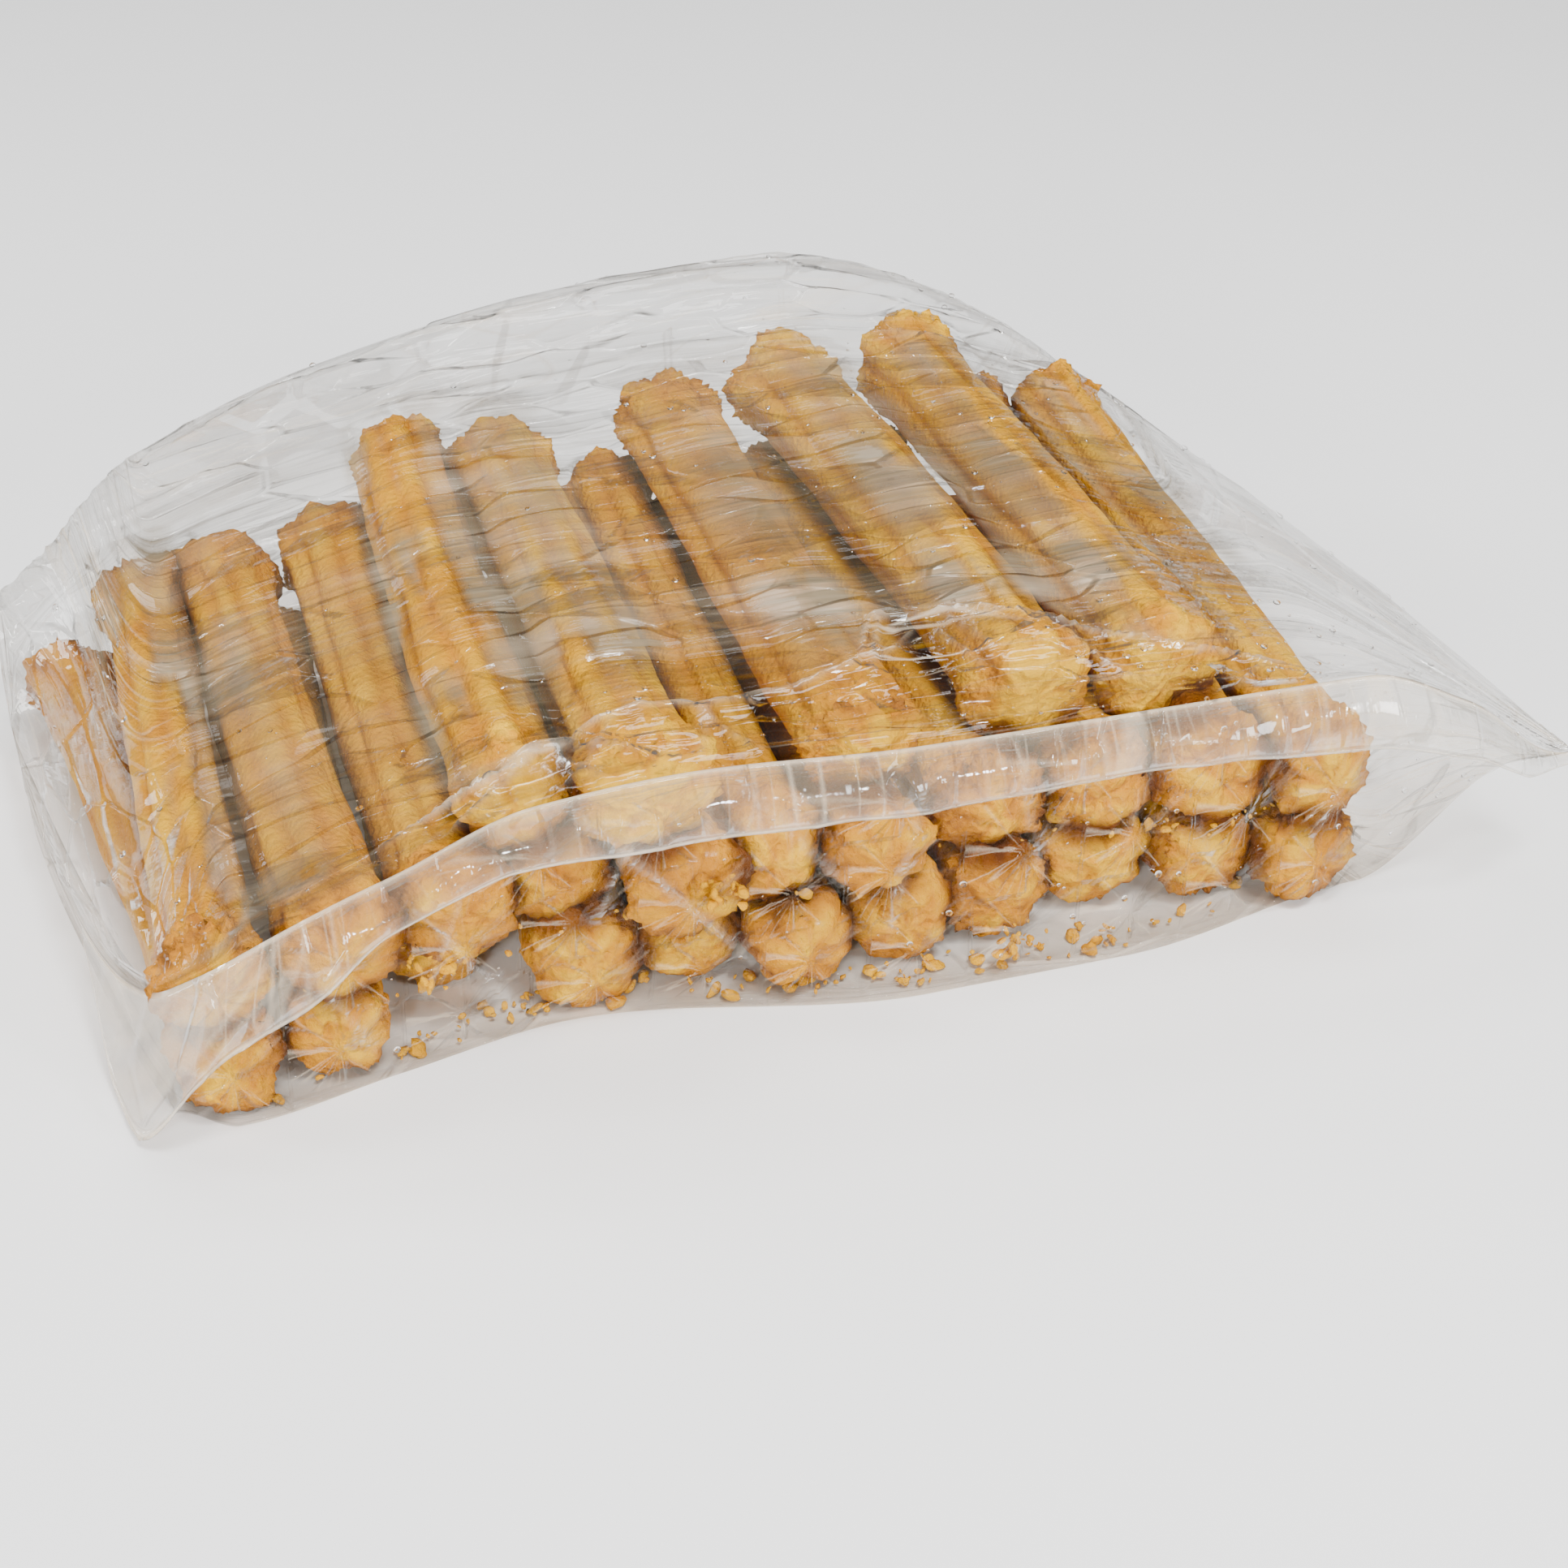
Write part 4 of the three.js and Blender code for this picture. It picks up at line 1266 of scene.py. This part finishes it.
def crust_group(settings):
    """Fried dough: colour, roughness and grain from place and browning, with painted shade in the grooves
    and where churros lie close together.
    """
    group, given, found = shader_group(
        "Fried crust",
        {"Browning": ("Float", 0.4), "Groove": ("Float", 0.4), "Pressed": ("Float", 0.0)},
        {"Color": "Color", "Roughness": "Float", "Height": "Float"},
    )
    spot = own_place(group)
    patches = placed_noise(group, spot, 60, 3)
    specks = placed_noise(group, spot, 480, 4, roughness=0.7)
    grain = placed_noise(group, spot, 1700, 3, roughness=0.6)
    pores = add_node(group, "ShaderNodeTexVoronoi", Vector=spot, Scale=700.0).outputs["Distance"]
    # Groove darkens the grooves between the ridges: painted shade.
    tone = weighted(group, given["Browning"], (patches, 0.55), (specks, 0.28), (given["Groove"], 0.24))
    tone = maths(group, "SUBTRACT", tone, CRUST_LIGHTNESS, clamp=True)
    colour = ramp(group, tone, (
        (0.08, settings.crust_pale), (0.38, settings.crust_golden),
        (0.66, settings.crust_toasted), (1.0, settings.crust_brown),
    ))
    # Painted shade: the dough is darkened where churros lie close together.
    soaked = mix_colours(group, given["Pressed"], colour, opaque(SOAKED_DOUGH), "MULTIPLY")
    feed(group, found["Color"], soaked)
    feed(group, found["Roughness"], weighted(group, 0.3, (specks, 0.4)))
    feed(group, found["Height"], weighted(group, 0.0, (specks, 0.7), (grain, 0.22), (pores, 0.35)))
    return group


def crust_material(name, browning=None):
    """Fried crust for a piece, browned and given painted shade and highlight by the numbers it stores, or
    browned by one plain number.
    """
    group = bpy.data.node_groups.get("Fried crust") or crust_group(bpy.context.scene.churro_settings)
    material, tree, surface = plain_material(name)
    if browning is None:
        body = use_group(
            tree, group, Browning=stored(tree, "toast"), Groove=stored(tree, "groove"),
            Pressed=stored(tree, "pressed"))
    else:
        body = use_group(tree, group, Browning=browning)
    shader = add_shader(
        tree, "ShaderNodeBsdfPrincipled", Base_Color=body["Color"], Roughness=body["Roughness"],
        Specular_IOR_Level=CRUST_SHEEN, Normal=bumped(tree, body["Height"], 1.0, 0.0016))
    feed(tree, surface, shader)
    return material


def crease_group():
    """Creases of thin film: a height for the gloss, dark lines painted as the reflection of dark
    surroundings, pale threads painted as glints, and hazy bands.
    """
    group, given, found = shader_group(
        "Film creases",
        {"Slack": ("Float", 1.0), "Place": ("Vector", (0, 0, 0))},
        {name: "Float" for name in ("Height", "Streaks", "Threads", "Bands", "Pale")},
    )
    spot, slack = given["Place"], given["Slack"]
    broad = placed_noise(group, spot, 42, 1, (0.35, 1.3, 1.0))
    lines = thin_lines(group, placed_noise(group, spot, 85, 1, (0.08, 1.8, 1.0), turn=-0.05), 15.0)
    fine_lines = thin_lines(group, placed_noise(group, spot, 210, 1, (0.12, 1.8, 1.0), turn=0.14), 12.0)
    leaning = facets(group, spot, 88.0, (0.45, 1.25, 1.0))
    height = weighted(
        group, 0.0, (broad, 1.6), (lines, 0.26), (fine_lines, 0.08), (leaning, FACET_TILT))
    crowds = stretched(group, placed_noise(group, spot, 22, 2, (0.4, 1.2, 1)), 0.42, 0.62)
    streaks = maths(group, "MULTIPLY", weighted(group, lines, (fine_lines, 0.35)), crowds)
    long_threads = placed_noise(group, spot, 60, 0, (0.09, 1.5, 1.0), turn=0.12)
    short_threads = placed_noise(group, spot, 130, 0, (0.2, 1.4, 1.0), turn=-0.2)
    threads = maths(
        group, "ADD", thin_lines(group, long_threads, 34.0), thin_lines(group, short_threads, 40.0))
    bands = placed_noise(group, spot, 15, 2, (0.5, 2.2, 1))
    pale = placed_noise(group, spot, 26, 2, (0.7, 1.6, 1), turn=0.5)
    feed(group, found["Height"], maths(group, "MULTIPLY", height, slack))
    feed(group, found["Streaks"], maths(group, "MULTIPLY", streaks, slack, clamp=True))
    feed(group, found["Threads"], maths(group, "MULTIPLY", threads, crowds, clamp=True))
    feed(group, found["Bands"], stretched(group, bands, 0.36, 0.66))
    feed(group, found["Pale"], stretched(group, pale, 0.42, 0.72))
    return group


def facets(tree, vector, scale, stretch):
    """Height over a patchwork of nearly flat facets that each lean their own way."""
    place = mapped(tree, vector, stretch)
    patch = tree.nodes.new("ShaderNodeTexVoronoi")
    patch.voronoi_dimensions = "2D"
    patch.feature = "SMOOTH_F1"
    patch.inputs["Scale"].default_value = scale
    patch.inputs["Smoothness"].default_value = 0.25
    tree.links.new(place, patch.inputs["Vector"])
    away = vector_maths(tree, "SUBTRACT", place, patch.outputs["Position"])
    lean = vector_maths(tree, "SUBTRACT", patch.outputs["Color"], (0.5, 0.5, 0.5))
    return vector_maths(tree, "DOT_PRODUCT", away, lean, "Value")


def thin_lines(tree, field, sharpness):
    """1 where a noise passes through its middle value, falling off fast beside it."""
    off = maths(tree, "ABSOLUTE", maths(tree, "SUBTRACT", field, 0.5))
    return maths(tree, "SUBTRACT", 1.0, maths(tree, "MULTIPLY", off, sharpness), clamp=True)


def stretched(tree, value, low, high):
    """A value spread from its range low to high over 0 to 1."""
    return maths(tree, "DIVIDE", maths(tree, "SUBTRACT", value, low), high - low, clamp=True)


def film_material(name):
    """Clear film: see-through, veiled or milky where the piece says, with a gloss by angle, painted glints
    along its creases, painted dark reflection lines and painted shade at its outline.
    """
    settings = bpy.context.scene.film_settings
    creases = bpy.data.node_groups.get("Film creases") or crease_group()
    material, tree, surface = plain_material(name)
    body = use_group(tree, creases, Slack=stored(tree, "slack"), Place=stored(tree, "creases", "Vector"))
    normal = bumped(tree, body["Height"], 0.7, 0.0010)

    # Painted shade: what is seen through darkens towards the grazing outline and along the dark crease
    # lines.
    facing = add_node(tree, "ShaderNodeLayerWeight", Blend=0.5, Normal=normal).outputs["Facing"]
    fold = maths(tree, "MULTIPLY", facing, body["Streaks"])
    rim = maths(tree, "POWER", facing, RIM_SHARPNESS)
    rim = maths(tree, "MULTIPLY_ADD", fold, FOLD_SHADE, rim, clamp=True)
    seen_through = mix_colours(tree, rim, opaque(settings.tint), opaque(RIM_TINT))
    clear = add_shader(tree, "ShaderNodeBsdfTransparent", Color=seen_through)

    # Painted glints: thin threads along the fine creases are whitened.
    threads = maths(tree, "MULTIPLY", stored(tree, "glint"), body["Threads"])
    milk = weighted(tree, stored(tree, "milk"), (threads, THREAD_MILK))
    # Along the dark lines the veil thickens and darkens: painted reflection of dark surroundings.
    pattern = weighted(tree, 0.38, (body["Bands"], 0.95), (body["Streaks"], 0.8))
    veil = maths(tree, "MULTIPLY", stored(tree, "haze"), pattern)
    veil = weighted(tree, LEAST_VEIL, (veil, settings.haze))
    cover = maths(tree, "ADD", veil, milk, clamp=True)
    pale = maths(tree, "MULTIPLY_ADD", body["Streaks"], -0.8, body["Pale"], clamp=True)
    tone = ramp(tree, pale, ((0.0, settings.veil_dark), (1.0, settings.veil_pale)))
    whiter = maths(tree, "DIVIDE", milk, maths(tree, "ADD", cover, 0.001), clamp=True)
    haze = add_shader(
        tree, "ShaderNodeBsdfPrincipled", Roughness=0.6, Specular_IOR_Level=0.2, Normal=normal,
        Base_Color=mix_colours(tree, whiter, tone, opaque(settings.milk)))

    skin = add_shader(
        tree, "ShaderNodeBsdfGlossy", Color=opaque(WHITE), Roughness=FILM_ROUGHNESS, Normal=normal)
    angle = add_node(tree, "ShaderNodeFresnel", IOR=FILM_IOR, Normal=normal).outputs["Fac"]
    inside = tree.nodes.new("ShaderNodeNewGeometry").outputs["Backfacing"]
    kept = maths(tree, "MULTIPLY_ADD", inside, -INNER_LOSS * settings.shine, settings.shine)
    kept = maths(tree, "MULTIPLY", kept, stored(tree, "gloss"))
    shine = maths(tree, "MULTIPLY", angle, kept, clamp=True)
    feed(tree, surface, mix_shaders(tree, shine, mix_shaders(tree, cover, clear, haze), skin))
    return material


def water_material():
    """Clear water beads with a faint unevenness."""
    material, tree, surface = plain_material("water")
    ripple = placed_noise(tree, own_place(tree), 900, 1)
    shader = add_shader(
        tree, "ShaderNodeBsdfPrincipled", Base_Color=opaque(WHITE), Roughness=0.02, IOR=WATER_IOR,
        Transmission_Weight=1.0, Normal=bumped(tree, ripple, 0.1, 0.0003))
    feed(tree, surface, shader)
    return material


def floor_material(colour):
    """A pale floor with a faint unevenness."""
    material, tree, surface = plain_material("floor_pale")
    cloud = placed_noise(tree, own_place(tree), 6, 2)
    darker = [c * 0.985 for c in colour]
    tint = ramp(tree, cloud, ((0.3, darker), (0.7, colour)))
    feed(tree, surface, add_shader(tree, "ShaderNodeBsdfPrincipled", Base_Color=tint, Roughness=0.7))
    return material


# ---- operators --------------------------------------------------------------
class CHURRO_OT_stage(bpy.types.Operator):
    """Sets up the floor, the soft lights and the camera"""
    bl_idname = "churro.stage"
    bl_label = "Stage"

    def execute(self, context):
        settings = context.scene.stage_settings
        bm = bmesh.new()
        bmesh.ops.create_grid(bm, x_segments=8, y_segments=8, size=FLOOR_SIZE)
        floor = add_mesh(bm, "floor", floor_material(settings.floor_colour))
        place_lights(context.scene, settings)
        place_camera(context.scene)
        return {"FINISHED"}


def place_lights(scene, settings):
    """Large soft boxes above and beside the bag, in a dim pale surround."""
    world = bpy.data.worlds.new("surround")
    world.use_nodes = True
    backdrop = world.node_tree.nodes["Background"]
    backdrop.inputs["Color"].default_value = opaque(WHITE)
    backdrop.inputs["Strength"].default_value = settings.surround
    scene.world = world
    for name, at, size, share in SOFT_BOXES:
        data = bpy.data.lights.new(name, "AREA")
        data.shape = "RECTANGLE"
        data.size, data.size_y = size
        data.energy = settings.key_power * share
        light = add_object(name, data)
        light.location = at
        aim = Vector(LIGHTS_AIM) - light.location
        light.rotation_euler = aim.to_track_quat("-Z", "Y").to_euler()


def place_camera(scene):
    data = bpy.data.cameras.new("camera")
    data.sensor_width = SENSOR_MM
    data.lens = FOCAL_PX / FRAME_WIDTH_PX * SENSOR_MM
    scene.camera = add_object("camera", data)
    scene.camera.location = Vector(CAMERA_AT) * MM
    scene.camera.rotation_euler = (math.radians(90 - CAMERA_DOWN), 0, math.radians(-CAMERA_ROUND))


class CHURRO_OT_churros(bpy.types.Operator):
    """Pipes and fries the churros of all three layers"""
    bl_idname = "churro.churros"
    bl_label = "Churros"

    def execute(self, context):
        settings = context.scene.churro_settings
        material = crust_material("fried_crust")
        for layer in LAYERS:
            build_layer(layer["name"], settings, material)
        return {"FINISHED"}


class CHURRO_OT_film(bpy.types.Operator):
    """Draws the closed film pouch over the heap, with its water droplets"""
    bl_idname = "churro.film"
    bl_label = "Film and Droplets"

    def execute(self, context):
        settings = context.scene.film_settings
        points = build_film(settings, film_material("clear_film"))
        build_droplets(settings, water_material(), points)
        return {"FINISHED"}


class CHURRO_OT_seal(bpy.types.Operator):
    """Adds the doubled fin seal and its hanging flap"""
    bl_idname = "churro.seal"
    bl_label = "Fin Seal"

    def execute(self, context):
        build_seal(film_material("seal_film"))
        return {"FINISHED"}


class CHURRO_OT_crumbs(bpy.types.Operator):
    """Scatters crumbs and flakes inside the bag"""
    bl_idname = "churro.crumbs"
    bl_label = "Crumbs"

    def execute(self, context):
        build_crumbs(context.scene.film_settings, crust_material("crumb_crust", CRUMB_BROWNING))
        return {"FINISHED"}


class CHURRO_PT_panel(bpy.types.Panel):
    """Lists the steps that build the bag"""
    bl_idname = "CHURRO_PT_panel"
    bl_label = "Bag of Churros"
    bl_space_type = "VIEW_3D"
    bl_region_type = "UI"
    bl_category = "Churros"

    def draw(self, context):
        for name, group in SETTINGS.items():
            box = self.layout.box()
            for setting in group.__annotations__:
                box.prop(getattr(context.scene, name), setting)
        for operator in STEPS:
            self.layout.operator(operator.bl_idname)


STEPS = (CHURRO_OT_stage, CHURRO_OT_churros, CHURRO_OT_film, CHURRO_OT_seal, CHURRO_OT_crumbs)
SETTINGS = {
    "stage_settings": StageSettings,
    "churro_settings": ChurroSettings,
    "film_settings": FilmSettings,
}
CLASSES = (*SETTINGS.values(), *STEPS, CHURRO_PT_panel)


def register():
    for item in CLASSES:
        bpy.utils.register_class(item)
    for name, group in SETTINGS.items():
        setattr(bpy.types.Scene, name, bpy.props.PointerProperty(type=group))


def unregister():
    for name in SETTINGS:
        delattr(bpy.types.Scene, name)
    for item in reversed(CLASSES):
        bpy.utils.unregister_class(item)


def main():
    register()
    bpy.ops.churro.stage()
    bpy.ops.churro.churros()
    bpy.ops.churro.film()
    bpy.ops.churro.seal()
    bpy.ops.churro.crumbs()


if __name__ == "__main__":
    main()
